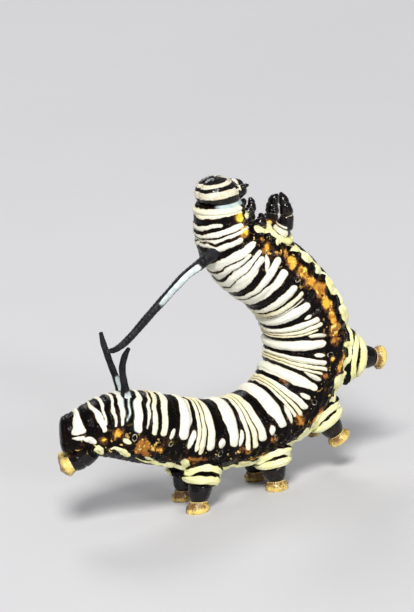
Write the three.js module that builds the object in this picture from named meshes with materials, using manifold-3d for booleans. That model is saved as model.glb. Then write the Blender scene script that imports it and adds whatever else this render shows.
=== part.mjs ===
// Life-size larva of a milkweed butterfly, reared in a C with its head up and its tail raised.
// Millimetres, +Z up, the ground at z = 0. The body's median plane is y = 0, the animal's right is -Y.

import * as THREE from 'three';
import { mergeVertices } from 'three/addons/utils/BufferGeometryUtils.js';
import Module from 'manifold-3d';

const wasm = await Module();
wasm.setup();

// Driving sizes
const GAP = 0.3;
const AROUND = 24;
const STATION_STEPS = 40;
const FOLD_DEPTH = 0.055;
const ANNULET_DEPTH = 0.02;
const GROUND_TO_AXIS = 5.52;
const ANCHOR_X = 17.61;
const ANCHOR_HEADING = -6.7;
const ANCHOR_SEGMENT = 5;

// Body segments from tail to head: length, upward and sideways bend in degrees, radius at the front end
const TAIL_RADIUS = 1.72;
const SEGMENTS = [
  { name: 'abdomen_10', length: 1.59, bend: 10.4, yaw: -7, radius: 2.14 },
  { name: 'abdomen_9', length: 1.83, bend: -8.6, yaw: -8, radius: 2.73 },
  { name: 'abdomen_8', length: 2.51, bend: -17.1, yaw: -8, radius: 3.13 },
  { name: 'abdomen_7', length: 3.99, bend: -2.9, yaw: -4, radius: 3.14 },
  { name: 'abdomen_6', length: 5.16, bend: 15.3, yaw: 0, radius: 3.06 },
  { name: 'abdomen_5', length: 4.92, bend: 28.2, yaw: 0, radius: 3.3 },
  { name: 'abdomen_4', length: 4.21, bend: 34.8, yaw: 0, radius: 3.5 },
  { name: 'abdomen_3', length: 4.21, bend: 37.0, yaw: 0, radius: 3.7 },
  { name: 'abdomen_2', length: 4.24, bend: 32.3, yaw: 0, radius: 3.55 },
  { name: 'abdomen_1', length: 3.54, bend: 17.7, yaw: 0, radius: 3.45 },
  { name: 'thorax_3', length: 3.01, bend: -13.2, yaw: 0, radius: 3.12 },
  { name: 'thorax_2', length: 2.38, bend: -25.4, yaw: 0, radius: 2.6 },
  { name: 'thorax_1', length: 1.63, bend: -14.9, yaw: 0, radius: 2.2 },
];

// Head
const HEAD_FORWARD = 1.5;
const HEAD_HALF_WIDTH = 1.95;
const HEAD_HALF_HEIGHT = 2.0;
const HEAD_CENTRE_AHEAD = 1.38;
const HEAD_NOD = 14;

// Prolegs of abdomen 3 to 6: the share of the segment where the leg leaves the axis, and the centre of
// the right and left foot as x and z. The profile gives the distance above the sole, the half size
// along the body and the half size across it, below the root's own half sizes.
const PROLEG_SPREAD = 1.45;
const PROLEG_FOOT_SPREAD = 1.9;
const PROLEG_ROOT_DEPTH = 1.5;
const PROLEGS = [
  { segment: 7, name: 'abdomen_3', root: 0.5, right: [33.0, 9.05], left: [33.0, 9.05] },
  { segment: 6, name: 'abdomen_4', root: 0.7, right: [28.1, 2.75], left: [28.1, 2.85] },
  { segment: 5, name: 'abdomen_5', root: 0.68, right: [21.35, 0], left: [21.6, 0], onGround: true },
  { segment: 4, name: 'abdomen_6', root: 0.5, right: [13.3, 0], left: [14.2, 0], onGround: true },
];
const PROLEG_ROOT = [1.4, 1.2];
const PROLEG_PROFILE = [
  [3.3, 1.8, 1.35],
  [2.7, 1.72, 1.35],
  [2.3, 1.5, 1.25],
  [2.05, 1.15, 1.05],
  [1.85, 1.02, 0.95],
  [1.0, 0.86, 0.8],
  [0.8, 0.76, 0.72],
  [0.5, 0.92, 0.84],
  [0.14, 1.0, 0.9],
  [0, 0.92, 0.84],
];

// True legs: path points as forward, belly and sideways distances from the middle of the segment.
// The left leg of each pair reaches back and out from the right one's path by leftReach at its tip.
const TRUE_LEGS = [
  {
    segment: 10,
    name: 'thorax_3',
    path: [
      [-0.7, 2.0, 0.8], [-0.62, 3.5, 1.35], [-0.2, 4.5, 1.6],
      [0.6, 5.25, 1.6], [1.1, 5.7, 1.4], [1.42, 5.95, 1.25],
    ],
    radii: [0.8, 0.86, 0.74, 0.6, 0.42, 0.16],
    leftReach: [-1.5, 0.2],
  },
  {
    segment: 11,
    name: 'thorax_2',
    path: [
      [-0.5, 1.5, 0.6], [-0.45, 2.6, 1.0], [-0.15, 3.1, 1.2],
      [0.2, 3.35, 1.15], [0.45, 3.48, 1.05], [0.68, 3.5, 1.0],
    ],
    radii: [0.62, 0.66, 0.56, 0.42, 0.3, 0.14],
    leftReach: [-0.75, 0.35],
  },
  {
    segment: 12,
    name: 'thorax_1',
    path: [
      [-0.3, 1.1, 0.5], [-0.2, 1.9, 0.85], [0.1, 2.4, 1.0],
      [0.5, 2.65, 0.95], [0.8, 2.72, 0.85], [1.05, 2.7, 0.8],
    ],
    radii: [0.5, 0.54, 0.46, 0.36, 0.28, 0.14],
    leftReach: [-0.5, 0.3],
  },
];

// Fleshy filaments: centre lines and radii from root to tip
const FRONT_FILAMENT = {
  path: [
    [18.6, -1.15, 22.0], [17.2, -1.32, 21.55], [16.3, -1.45, 21.2], [14.73, -1.6, 20.62],
    [13.34, -1.75, 19.86], [11.94, -1.9, 19.0], [10.56, -2.05, 18.15], [9.27, -2.2, 17.35],
    [8.23, -2.3, 16.7], [7.32, -2.4, 16.25], [6.55, -2.45, 16.05], [6.0, -2.5, 16.1],
  ],
  radii: [0.62, 0.56, 0.46, 0.4, 0.38, 0.36, 0.34, 0.32, 0.3, 0.28, 0.25, 0.17],
};
const FRONT_FILAMENT_DROP = [1.156, 0.663];
const REAR_FILAMENT_NEAR = {
  path: [
    [8.32, -0.45, 9.7], [8.3, -0.58, 10.75], [8.22, -0.65, 12.1], [8.13, -0.7, 13.1],
    [8.15, -0.75, 13.95], [8.42, -0.8, 14.7], [8.85, -0.9, 15.37],
  ],
  radii: [0.7, 0.55, 0.34, 0.3, 0.29, 0.27, 0.17],
};
const REAR_FILAMENT_FAR = {
  path: [
    [8.7, 1.1, 9.7], [8.88, 1.25, 10.85], [8.78, 1.3, 11.55], [8.58, 1.38, 12.4],
    [8.4, 1.5, 13.2], [8.19, 1.65, 14.27], [7.98, 1.8, 15.36], [7.89, 1.9, 16.4],
  ],
  radii: [0.7, 0.52, 0.38, 0.31, 0.29, 0.28, 0.26, 0.17],
};

// Colours
const CREAM = { color: '#e9e6d3', roughness: 0.45, metalness: 0 };
const BLACK_HORN = { color: '#0d0b0c', roughness: 0.22, metalness: 0 };
const FILAMENT_SKIN = { color: '#14161a', roughness: 0.5, metalness: 0 };

const radians = THREE.MathUtils.degToRad;

// The axis: stations of equal steps through each segment, with their forward, back and side directions
function directions(heading, yaw) {
  const level = Math.cos(yaw);
  const forward = new THREE.Vector3(Math.cos(heading) * level, -Math.sin(yaw), Math.sin(heading) * level);
  const back = new THREE.Vector3(-Math.sin(heading), 0, Math.cos(heading));
  const side = new THREE.Vector3().crossVectors(forward, back);
  return { forward, back, side };
}

function buildAxis() {
  let heading = radians(ANCHOR_HEADING);
  for (const segment of SEGMENTS.slice(0, ANCHOR_SEGMENT)) heading -= radians(segment.bend);
  let yaw = -SEGMENTS.reduce((sum, segment) => sum + radians(segment.yaw), 0);
  const point = new THREE.Vector3();
  const stations = [{ point: point.clone(), heading, yaw }];
  for (const segment of SEGMENTS) {
    for (let i = 0; i < STATION_STEPS; i += 1) {
      const bend = radians(segment.bend) / STATION_STEPS;
      const turn = radians(segment.yaw) / STATION_STEPS;
      const { forward } = directions(heading + bend / 2, yaw + turn / 2);
      point.addScaledVector(forward, segment.length / STATION_STEPS);
      heading += bend;
      yaw += turn;
      stations.push({ point: point.clone(), heading, yaw });
    }
  }
  const anchor = stations[ANCHOR_SEGMENT * STATION_STEPS].point.clone();
  const shift = new THREE.Vector3(ANCHOR_X, 0, GROUND_TO_AXIS).sub(anchor);
  for (const station of stations) station.point.add(shift);
  return stations;
}

const AXIS = buildAxis();
const JOINT_RADII = [TAIL_RADIUS, ...SEGMENTS.map((segment) => segment.radius)];

function stationAt(segment, fraction) {
  const place = THREE.MathUtils.clamp((segment + fraction) * STATION_STEPS, 0, AXIS.length - 1);
  const low = Math.min(Math.floor(place), AXIS.length - 2);
  const mix = place - low;
  const point = AXIS[low].point.clone().lerp(AXIS[low + 1].point, mix);
  const heading = THREE.MathUtils.lerp(AXIS[low].heading, AXIS[low + 1].heading, mix);
  const yaw = THREE.MathUtils.lerp(AXIS[low].yaw, AXIS[low + 1].yaw, mix);
  return { point, ...directions(heading, yaw) };
}

// Outline of the body: smooth radius between joints, folds at the joints and between the annulets
function smoothRadius(place) {
  const last = JOINT_RADII.length - 1;
  const low = THREE.MathUtils.clamp(Math.floor(place), 0, last - 1);
  const t = place - low;
  const value = (i) => JOINT_RADII[THREE.MathUtils.clamp(i, 0, last)];
  const slopeLow = (value(low + 1) - value(low - 1)) / 2;
  const slopeHigh = (value(low + 2) - value(low)) / 2;
  const t2 = t * t;
  const t3 = t2 * t;
  return (2 * t3 - 3 * t2 + 1) * value(low) + (t3 - 2 * t2 + t) * slopeLow
    + (-2 * t3 + 3 * t2) * value(low + 1) + (t3 - t2) * slopeHigh;
}

function bell(x, width) {
  return Math.exp(-(x / width) * (x / width));
}

function foldFactor(fraction) {
  const joints = bell(fraction, 0.09) + bell(1 - fraction, 0.09);
  const annulets = bell(fraction - 0.36, 0.05) + bell(fraction - 0.66, 0.05);
  return 1.015 - FOLD_DEPTH * joints - ANNULET_DEPTH * annulets;
}

// Section: a little flat under the belly, with a low ridge along each lower side; angle 0 is the back
function sectionFactor(angle) {
  const fromBack = Math.abs(Math.atan2(Math.sin(angle), Math.cos(angle)));
  const belly = 0.07 * bell(fromBack - Math.PI, 0.75);
  const ridge = 0.035 * bell(fromBack - radians(122), 0.3);
  return 1 - belly + ridge;
}

function bodyRing(segment, fraction, grow, slide) {
  const { point, forward, back, side } = stationAt(segment, fraction);
  const radius = smoothRadius(segment + fraction) * foldFactor(fraction);
  const ring = [];
  for (let i = 0; i < AROUND; i += 1) {
    const angle = (2 * Math.PI * i) / AROUND;
    const reach = radius * sectionFactor(angle) + grow;
    ring.push(point.clone()
      .addScaledVector(back, reach * Math.cos(angle))
      .addScaledVector(side, reach * Math.sin(angle))
      .addScaledVector(forward, slide));
  }
  return ring;
}

// Closed skin through rings with the same number of points, with a flat fan at each end
function loft(rings) {
  const count = rings[0].length;
  const positions = [];
  const index = [];
  for (const ring of rings) for (const p of ring) positions.push(p.x, p.y, p.z);
  for (let r = 0; r + 1 < rings.length; r += 1) {
    for (let i = 0; i < count; i += 1) {
      const a = r * count + i;
      const b = r * count + ((i + 1) % count);
      index.push(a, b, b + count, a, b + count, a + count);
    }
  }
  for (const end of [0, rings.length - 1]) {
    const centre = new THREE.Vector3();
    for (const p of rings[end]) centre.addScaledVector(p, 1 / count);
    const middle = positions.length / 3;
    positions.push(centre.x, centre.y, centre.z);
    for (let i = 0; i < count; i += 1) {
      const a = end * count + i;
      const b = end * count + ((i + 1) % count);
      if (end === 0) index.push(middle, b, a);
      else index.push(middle, a, b);
    }
  }
  const geometry = new THREE.BufferGeometry();
  geometry.setAttribute('position', new THREE.Float32BufferAttribute(positions, 3));
  geometry.setIndex(index);
  return geometry;
}

function signedVolume(geometry) {
  const position = geometry.attributes.position;
  const index = geometry.index.array;
  const [a, b, c] = [new THREE.Vector3(), new THREE.Vector3(), new THREE.Vector3()];
  let volume = 0;
  for (let i = 0; i < index.length; i += 3) {
    a.fromBufferAttribute(position, index[i]);
    b.fromBufferAttribute(position, index[i + 1]);
    c.fromBufferAttribute(position, index[i + 2]);
    volume += a.dot(b.cross(c)) / 6;
  }
  return volume;
}

function toSolid(geometry) {
  const plain = geometry.index ? geometry.clone() : mergeVertices(geometry);
  plain.deleteAttribute('normal');
  plain.deleteAttribute('uv');
  const merged = mergeVertices(plain, 1e-5);
  const index = Array.from(merged.index.array);
  if (signedVolume(merged) < 0) {
    for (let i = 0; i < index.length; i += 3) [index[i + 1], index[i + 2]] = [index[i + 2], index[i + 1]];
  }
  return new wasm.Manifold(new wasm.Mesh({
    numProp: 3,
    vertProperties: new Float32Array(merged.attributes.position.array),
    triVerts: new Uint32Array(index),
  }));
}

function largest(solid) {
  return solid.decompose().sort((a, b) => b.volume() - a.volume())[0];
}

function toGeometry(solid) {
  const mesh = solid.getMesh();
  const geometry = new THREE.BufferGeometry();
  geometry.setAttribute('position', new THREE.BufferAttribute(new Float32Array(mesh.vertProperties), mesh.numProp));
  geometry.setIndex(new THREE.BufferAttribute(new Uint32Array(mesh.triVerts), 1));
  geometry.computeVertexNormals();
  return geometry;
}

const part = new THREE.Group();
part.name = 'milkweed_butterfly_larva';

function place(name, geometry, look) {
  const material = new THREE.MeshStandardMaterial(look);
  const mesh = new THREE.Mesh(geometry, material);
  mesh.name = name;
  part.add(mesh);
  return mesh;
}

// Body segments, parted at the folds between them
function segmentFractions(length, bend, radius) {
  const shrink = 1 - (Math.abs(radians(bend)) * radius) / length;
  const first = Math.max(0.14, (0.3 / length) / Math.max(shrink, 0.3));
  const steps = length > 2.6 ? 5 : 3;
  const list = [0];
  for (let i = 0; i <= steps - 1; i += 1) list.push(first + ((1 - 2 * first) * i) / (steps - 1));
  list.push(1);
  return list;
}

const wholeRings = [];
SEGMENTS.forEach((segment, s) => {
  const fractions = segmentFractions(segment.length, segment.bend, segment.radius);
  const rings = fractions.map((fraction, i) => {
    const slide = i === 0 ? GAP / 2 : i === fractions.length - 1 ? -GAP / 2 : 0;
    return bodyRing(s, fraction, 0, slide);
  });
  if (s === 0) {
    const { forward } = stationAt(0, 0);
    const centre = new THREE.Vector3();
    for (const p of rings[0]) centre.addScaledVector(p, 1 / AROUND);
    for (const [shrink, behind] of [[0.9, 0.2], [0.62, 0.38]]) {
      rings.unshift(bodyRing(0, 0, 0, 0).map((p) => p.lerp(centre, 1 - shrink).addScaledVector(forward, -behind)));
    }
  }
  place(segment.name, loft(rings), CREAM);
  fractions.slice(s === 0 ? 0 : 1).forEach((fraction) => wholeRings.push(bodyRing(s, fraction, GAP, 0)));
});
const tailForward = stationAt(0, 0).forward;
wholeRings.unshift(bodyRing(0, 0, GAP, 0).map((p) => p.addScaledVector(tailForward, -0.7)));
const bodyWithGap = toSolid(loft(wholeRings));

// Round rod through points, with its own radius at each; half sizes may differ along and across
function rod(path, radii, sides, across) {
  const points = path.map((p) => new THREE.Vector3(...p));
  const rings = points.map((p, i) => {
    const before = points[Math.max(i - 1, 0)];
    const after = points[Math.min(i + 1, points.length - 1)];
    const along = after.clone().sub(before).normalize();
    const right = new THREE.Vector3().crossVectors(along, across).normalize();
    const up = new THREE.Vector3().crossVectors(right, along).normalize();
    const ring = [];
    for (let k = 0; k < sides; k += 1) {
      const angle = (2 * Math.PI * k) / sides;
      ring.push(p.clone()
        .addScaledVector(right, radii[i] * Math.cos(angle))
        .addScaledVector(up, radii[i] * Math.sin(angle)));
    }
    return ring;
  });
  return loft(rings);
}

// Head: a capsule with two lobes and a shallow cleft between them, drawn in towards the mouth
function headFrame() {
  const { point, forward, back, side } = stationAt(SEGMENTS.length - 1, 1);
  const nod = radians(HEAD_NOD);
  const face = forward.clone().multiplyScalar(Math.cos(nod)).addScaledVector(back, -Math.sin(nod));
  const crown = back.clone().multiplyScalar(Math.cos(nod)).addScaledVector(forward, Math.sin(nod));
  const centre = point.clone().addScaledVector(forward, HEAD_CENTRE_AHEAD);
  return { centre, face, crown, side, neck: point, neckForward: forward };
}

const HEAD = headFrame();

function onHead(face, crown, side) {
  return HEAD.centre.clone()
    .addScaledVector(HEAD.face, face)
    .addScaledVector(HEAD.crown, crown)
    .addScaledVector(HEAD.side, side);
}

function headGeometry(grow) {
  const geometry = new THREE.SphereGeometry(1, 28, 18);
  geometry.deleteAttribute('normal');
  geometry.deleteAttribute('uv');
  const round = mergeVertices(geometry, 1e-5);
  const position = round.attributes.position;
  for (let i = 0; i < position.count; i += 1) {
    const face = position.getY(i);
    const crown = position.getX(i);
    const side = position.getZ(i);
    const cleft = 1 - 0.07 * bell(side, 0.16) * THREE.MathUtils.smoothstep(crown + 0.6 * face, 0, 0.9);
    const chin = 1 - 0.2 * THREE.MathUtils.smoothstep(-crown, 0.35, 1);
    const p = onHead(
      (HEAD_FORWARD + grow) * face * cleft,
      (HEAD_HALF_HEIGHT + grow) * crown * cleft,
      (HEAD_HALF_WIDTH + grow) * side * chin,
    );
    position.setXYZ(i, p.x, p.y, p.z);
  }
  return round;
}

const NECK_SIZE = 8;
const neckBlock = new THREE.BoxGeometry(NECK_SIZE, NECK_SIZE, NECK_SIZE);
const neckThird = HEAD.side.clone().cross(HEAD.neckForward);
neckBlock.applyMatrix4(new THREE.Matrix4().makeBasis(HEAD.side, HEAD.neckForward, neckThird));
const neckCentre = HEAD.neck.clone().addScaledVector(HEAD.neckForward, GAP / 2 - NECK_SIZE / 2);
neckBlock.translate(neckCentre.x, neckCentre.y, neckCentre.z);
const headSolid = largest(toSolid(headGeometry(0)).subtract(toSolid(neckBlock)));
place('head', toGeometry(headSolid), BLACK_HORN);
const headWithGap = toSolid(headGeometry(GAP));

// Mouth: upper lip over the paired jaws, cut clear of the face
const MOUTH_PATH = [[0.35, -1.1, 0], [0.5, -1.7, 0], [0.48, -2.1, 0], [0.36, -2.42, 0]];
const MOUTH_RADII = [0.75, 0.78, 0.66, 0.4];
const mouthPoints = MOUTH_PATH.map((p) => onHead(...p).toArray());
const mouth = toSolid(rod(mouthPoints, MOUTH_RADII, 12, HEAD.side));
place('mouthparts', toGeometry(largest(mouth.subtract(headWithGap))), BLACK_HORN);

// Antennae: short jointed pegs beside the jaws
const ANTENNA_PATH = [[0.5, -0.95, 1.0], [0.78, -1.5, 1.22], [0.95, -1.86, 1.3], [1.02, -2.08, 1.34]];
const ANTENNA_RADII = [0.27, 0.27, 0.25, 0.14];
for (const hand of [1, -1]) {
  const path = ANTENNA_PATH.map(([face, crown, side]) => onHead(face, crown, side * hand).toArray());
  const peg = toSolid(rod(path, ANTENNA_RADII, 8, HEAD.side.clone().add(HEAD.face)));
  const name = `antenna_${hand > 0 ? 'right' : 'left'}`;
  place(name, toGeometry(largest(peg.subtract(headWithGap))), BLACK_HORN);
}

// True legs, tapering to a claw
for (const leg of TRUE_LEGS) {
  const { point, forward, back, side } = stationAt(leg.segment, 0.5);
  for (const hand of [1, -1]) {
    const path = leg.path.map(([ahead, belly, out], i) => {
      const reach = hand > 0 ? 0 : i / (leg.path.length - 1);
      return point.clone()
        .addScaledVector(forward, ahead + leg.leftReach[0] * reach)
        .addScaledVector(back, -belly - leg.leftReach[1] * reach)
        .addScaledVector(side, out * hand)
        .toArray();
    });
    const limb = toSolid(rod(path, leg.radii, 10, forward));
    const name = `leg_${leg.name}_${hand > 0 ? 'right' : 'left'}`;
    place(name, toGeometry(largest(limb.subtract(bodyWithGap).subtract(headWithGap))), BLACK_HORN);
  }
}

// Prolegs: a folded fleshy cone, a horny band, a waist and a wide soft foot with a flat sole
const PROLEG_SIDES = 16;
for (const leg of PROLEGS) {
  const { point, forward, back, side } = stationAt(leg.segment, leg.root);
  for (const hand of [1, -1]) {
    const root = point.clone()
      .addScaledVector(back, -PROLEG_ROOT_DEPTH)
      .addScaledVector(side, PROLEG_SPREAD * hand);
    const [footX, footZ] = hand > 0 ? leg.right : leg.left;
    const foot = new THREE.Vector3(footX, 0, footZ).addScaledVector(side, PROLEG_FOOT_SPREAD * hand);
    const down = foot.clone().sub(root).normalize();
    const reach = foot.distanceTo(root);
    const sole = leg.onGround ? new THREE.Vector3(0, 0, -1) : down;
    const levelAlong = leg.onGround
      ? new THREE.Vector3(1, 0, 0)
      : forward.clone().addScaledVector(down, -forward.dot(down)).normalize();
    const profile = [[reach, ...PROLEG_ROOT], ...PROLEG_PROFILE];
    const rings = profile.map(([height, halfLong, halfWide]) => {
      const u = 1 - height / reach;
      const level = THREE.MathUtils.smoothstep(u, 0.55, 0.95);
      const normal = down.clone().lerp(sole, level).normalize();
      const long = forward.clone().lerp(levelAlong, level);
      long.addScaledVector(normal, -long.dot(normal)).normalize();
      const wide = new THREE.Vector3().crossVectors(normal, long).normalize();
      const centre = root.clone().lerp(foot, u);
      const ring = [];
      for (let k = 0; k < PROLEG_SIDES; k += 1) {
        const angle = (2 * Math.PI * k) / PROLEG_SIDES;
        ring.push(centre.clone()
          .addScaledVector(long, halfLong * Math.cos(angle))
          .addScaledVector(wide, halfWide * Math.sin(angle)));
      }
      return ring;
    });
    if (leg.onGround) for (const p of rings[rings.length - 1]) p.z = 0;
    const limb = toSolid(loft(rings));
    const name = `proleg_${leg.name}_${hand > 0 ? 'right' : 'left'}`;
    place(name, toGeometry(largest(limb.subtract(bodyWithGap))), BLACK_HORN);
  }
}

// Anal prolegs: short claspers that point down and back from the last segment
const ANAL_PROFILE = [0.95, 1.0, 0.95, 0.8, 0.72, 0.86, 0.8];
const ANAL_PATH = [
  [1.85, 0.8], [1.5, 1.3], [1.02, 1.75], [0.45, 2.1], [0.02, 2.32], [-0.36, 2.5], [-0.74, 2.7],
];
const ANAL_SPREAD = 0.98;
{
  const { point, forward, back, side } = stationAt(0, 0.2);
  for (const hand of [1, -1]) {
    const path = ANAL_PATH.map(([ahead, belly]) => point.clone()
      .addScaledVector(forward, ahead)
      .addScaledVector(back, -belly)
      .addScaledVector(side, ANAL_SPREAD * hand)
      .toArray());
    const limb = toSolid(rod(path, ANAL_PROFILE, 14, side));
    const name = `anal_proleg_${hand > 0 ? 'right' : 'left'}`;
    place(name, toGeometry(largest(limb.subtract(bodyWithGap))), BLACK_HORN);
  }
}

// Filaments: a pair on the second thoracic segment and a pair on abdomen 8
const FILAMENT_SIDES = 8;
const FILAMENT_ACROSS = new THREE.Vector3(0, 1, 0);
function filament(name, path, radii) {
  const limb = toSolid(rod(path, radii, FILAMENT_SIDES, FILAMENT_ACROSS));
  place(name, toGeometry(largest(limb.subtract(bodyWithGap))), FILAMENT_SKIN);
}
const [dropX, dropZ] = FRONT_FILAMENT_DROP;
const frontLeft = FRONT_FILAMENT.path.map(([x, y, z]) => [x - dropX * y, -y, z + dropZ * y]);
filament('filament_front_right', FRONT_FILAMENT.path, FRONT_FILAMENT.radii);
filament('filament_front_left', frontLeft, FRONT_FILAMENT.radii);
filament('filament_rear_right', REAR_FILAMENT_NEAR.path, REAR_FILAMENT_NEAR.radii);
filament('filament_rear_left', REAR_FILAMENT_FAR.path, REAR_FILAMENT_FAR.radii);

// The origin is the middle of the footprint, on the ground
const box = new THREE.Box3().setFromObject(part);
const middle = box.getCenter(new THREE.Vector3());
part.position.set(-middle.x, -middle.y, 0);
part.updateMatrixWorld(true);

export default part;
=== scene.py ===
# Dresses the milkweed butterfly larva: one banded skin over the body, and separate horn, feet and filaments.
# Lengths in the tables are millimetres in the body's own frame, before the origin is moved to the footprint.

import math

import bpy
import numpy as np
from mathutils import Matrix


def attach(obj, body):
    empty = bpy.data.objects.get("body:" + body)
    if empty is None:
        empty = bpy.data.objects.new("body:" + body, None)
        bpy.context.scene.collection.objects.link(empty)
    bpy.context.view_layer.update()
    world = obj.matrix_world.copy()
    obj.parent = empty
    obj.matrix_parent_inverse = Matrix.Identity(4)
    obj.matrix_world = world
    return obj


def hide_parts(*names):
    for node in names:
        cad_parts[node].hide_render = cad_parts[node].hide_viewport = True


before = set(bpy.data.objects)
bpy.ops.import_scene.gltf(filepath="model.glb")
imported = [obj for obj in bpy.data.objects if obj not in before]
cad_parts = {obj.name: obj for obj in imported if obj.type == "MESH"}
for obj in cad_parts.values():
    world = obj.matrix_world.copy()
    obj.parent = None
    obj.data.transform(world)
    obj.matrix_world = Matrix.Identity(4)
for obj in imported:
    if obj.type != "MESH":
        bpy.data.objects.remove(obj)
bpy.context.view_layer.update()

MM = 0.001
ORIGIN_X = 17.5628
GROUND_TO_AXIS = 5.52
ANCHOR_X = 17.61
ANCHOR_HEADING = -6.7
ANCHOR_JOINT = 5
STEPS = 40
SEED = 7

# Body segments from tail to head: length, upward bend, sideways bend, radius at the front end
TAIL_RADIUS = 1.72
SEGMENTS = {
    "abdomen_10": (1.59, 10.4, -7, 2.14),
    "abdomen_9": (1.83, -8.6, -8, 2.73),
    "abdomen_8": (2.51, -17.1, -8, 3.13),
    "abdomen_7": (3.99, -2.9, -4, 3.14),
    "abdomen_6": (5.16, 15.3, 0, 3.06),
    "abdomen_5": (4.92, 28.2, 0, 3.3),
    "abdomen_4": (4.21, 34.8, 0, 3.5),
    "abdomen_3": (4.21, 37.0, 0, 3.7),
    "abdomen_2": (4.24, 32.3, 0, 3.55),
    "abdomen_1": (3.54, 17.7, 0, 3.45),
    "thorax_3": (3.01, -13.2, 0, 3.12),
    "thorax_2": (2.38, -25.4, 0, 2.6),
    "thorax_1": (1.63, -14.9, 0, 2.2),
}
NAMES = list(SEGMENTS)
LENGTHS = np.array([SEGMENTS[n][0] for n in NAMES])
BENDS = np.radians([SEGMENTS[n][1] for n in NAMES])
YAWS = np.radians([SEGMENTS[n][2] for n in NAMES])
RADII = np.array([TAIL_RADIUS] + [SEGMENTS[n][3] for n in NAMES])
COUNT = len(NAMES)

# Pale stripes: segment counted from the tail, then the rear and front edges near the back, on the side and
# low on the side as shares of the segment from its rear joint, then the angle from the back where it ends
STRIPES = [
    (0, 0.6, 1.0, 0.42, 0.98, 0.12, 1.15, 76), (1, 0.35, 0.52, 0.45, 0.75, 0.6, 0.8, 81),
    (1, 0.75, 0.95, 0.72, 0.87, 0.66, 0.8, 70), (2, 0.12, 0.25, 0.04, 0.17, 0.02, 0.13, 76),
    (2, 0.3, 0.48, 0.22, 0.4, 0.2, 0.32, 77), (2, 0.58, 0.68, 0.46, 0.54, 0.33, 0.38, 72),
    (2, 0.82, 1.0, 0.59, 0.85, 0.57, 0.82, 89), (3, 0.1, 0.17, -0.03, 0.07, -0.07, 0.02, 83),
    (3, 0.19, 0.33, 0.07, 0.2, 0.06, 0.2, 92), (3, 0.38, 0.55, 0.27, 0.45, 0.26, 0.43, 91),
    (3, 0.8, 1.08, 0.71, 1.02, 0.7, 0.94, 92), (4, 0.13, 0.2, 0.09, 0.17, 0.11, 0.19, 106),
    (4, 0.22, 0.3, 0.19, 0.27, 0.2, 0.3, 110), (4, 0.33, 0.43, 0.29, 0.45, 0.34, 0.48, 103),
    (4, 0.71, 1.0, 0.68, 0.97, 0.77, 0.95, 100), (5, 0.07, 0.15, 0.06, 0.15, 0.09, 0.17, 108),
    (5, 0.165, 0.24, 0.165, 0.25, 0.21, 0.32, 106), (5, 0.25, 0.4, 0.27, 0.43, 0.35, 0.49, 100),
    (5, 0.64, 0.97, 0.66, 0.98, 0.76, 0.92, 93), (6, 0.07, 0.15, 0.09, 0.18, 0.11, 0.18, 90),
    (6, 0.17, 0.27, 0.2, 0.28, 0.22, 0.32, 95), (6, 0.29, 0.42, 0.3, 0.46, 0.36, 0.49, 93),
    (6, 0.58, 1.0, 0.66, 1.0, 0.8, 0.95, 88), (7, 0.13, 0.21, 0.12, 0.2, 0.17, 0.23, 84),
    (7, 0.23, 0.33, 0.215, 0.325, 0.27, 0.35, 92), (7, 0.35, 0.52, 0.34, 0.51, 0.38, 0.5, 88),
    (7, 0.66, 1.04, 0.71, 1.03, 0.8, 0.96, 85), (8, 0.2, 0.27, 0.18, 0.245, 0.2, 0.25, 80),
    (8, 0.29, 0.37, 0.26, 0.35, 0.27, 0.36, 86), (8, 0.39, 0.56, 0.37, 0.56, 0.38, 0.52, 86),
    (8, 0.69, 0.98, 0.73, 1.0, 0.8, 0.95, 82), (9, 0.03, 0.1, 0.0, 0.08, 0.02, 0.08, 80),
    (9, 0.14, 0.28, 0.11, 0.28, 0.16, 0.27, 88), (9, 0.32, 0.52, 0.34, 0.62, 0.36, 0.58, 87),
    (9, 0.9, 1.15, 0.9, 1.16, 0.84, 1.08, 96), (10, 0.19, 0.3, 0.19, 0.33, 0.19, 0.42, 107),
    (10, 0.47, 0.62, 0.53, 0.82, 0.66, 0.86, 96), (10, 0.66, 0.85, 0.84, 1.03, 0.89, 1.0, 102),
    (10, 0.93, 1.12, 1.07, 1.24, 1.08, 1.2, 85), (10, 1.18, 1.42, 1.28, 1.51, 1.22, 1.5, 104),
    (11, 0.87, 0.95, 0.68, 0.85, 0.65, 0.83, 92), (11, 0.98, 1.06, 0.94, 1.03, 0.92, 1.04, 116),
    (12, 0.12, 0.24, 0.12, 0.34, 0.12, 0.42, 106), (12, 0.38, 0.58, 0.52, 0.68, 0.48, 0.56, 62),
    (12, 0.86, 1.1, 0.88, 1.12, 0.9, 1.12, 118),
]

# White spots between the stripes: place in segments from the tail, angle from the back, half length in mm,
# half height in degrees, lean in mm from bottom to top
WHITE_SPOTS = [
    (3.55, 83, 0.27, 10, 0.1), (4.62, 92, 0.34, 8, 0.0), (4.03, 89, 0.26, 15, 0.12),
    (5.62, 87, 0.3, 9, 0.0), (5.01, 88, 0.2, 15, 0.1), (6.6, 80, 0.26, 9, -0.1), (6.05, 79, 0.2, 17, 0.1),
    (7.61, 78, 0.2, 7, 0.0), (7.08, 75, 0.22, 15, 0.1), (8.61, 72, 0.17, 6, 0.0),
    (8.09, 75, 0.24, 14, 0.25), (10.56, 91, 0.24, 13, -0.45), (0.62, 83, 0.6, 7, 0.0),
    (1.08, 93, 0.42, 10, -0.35),
]

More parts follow.
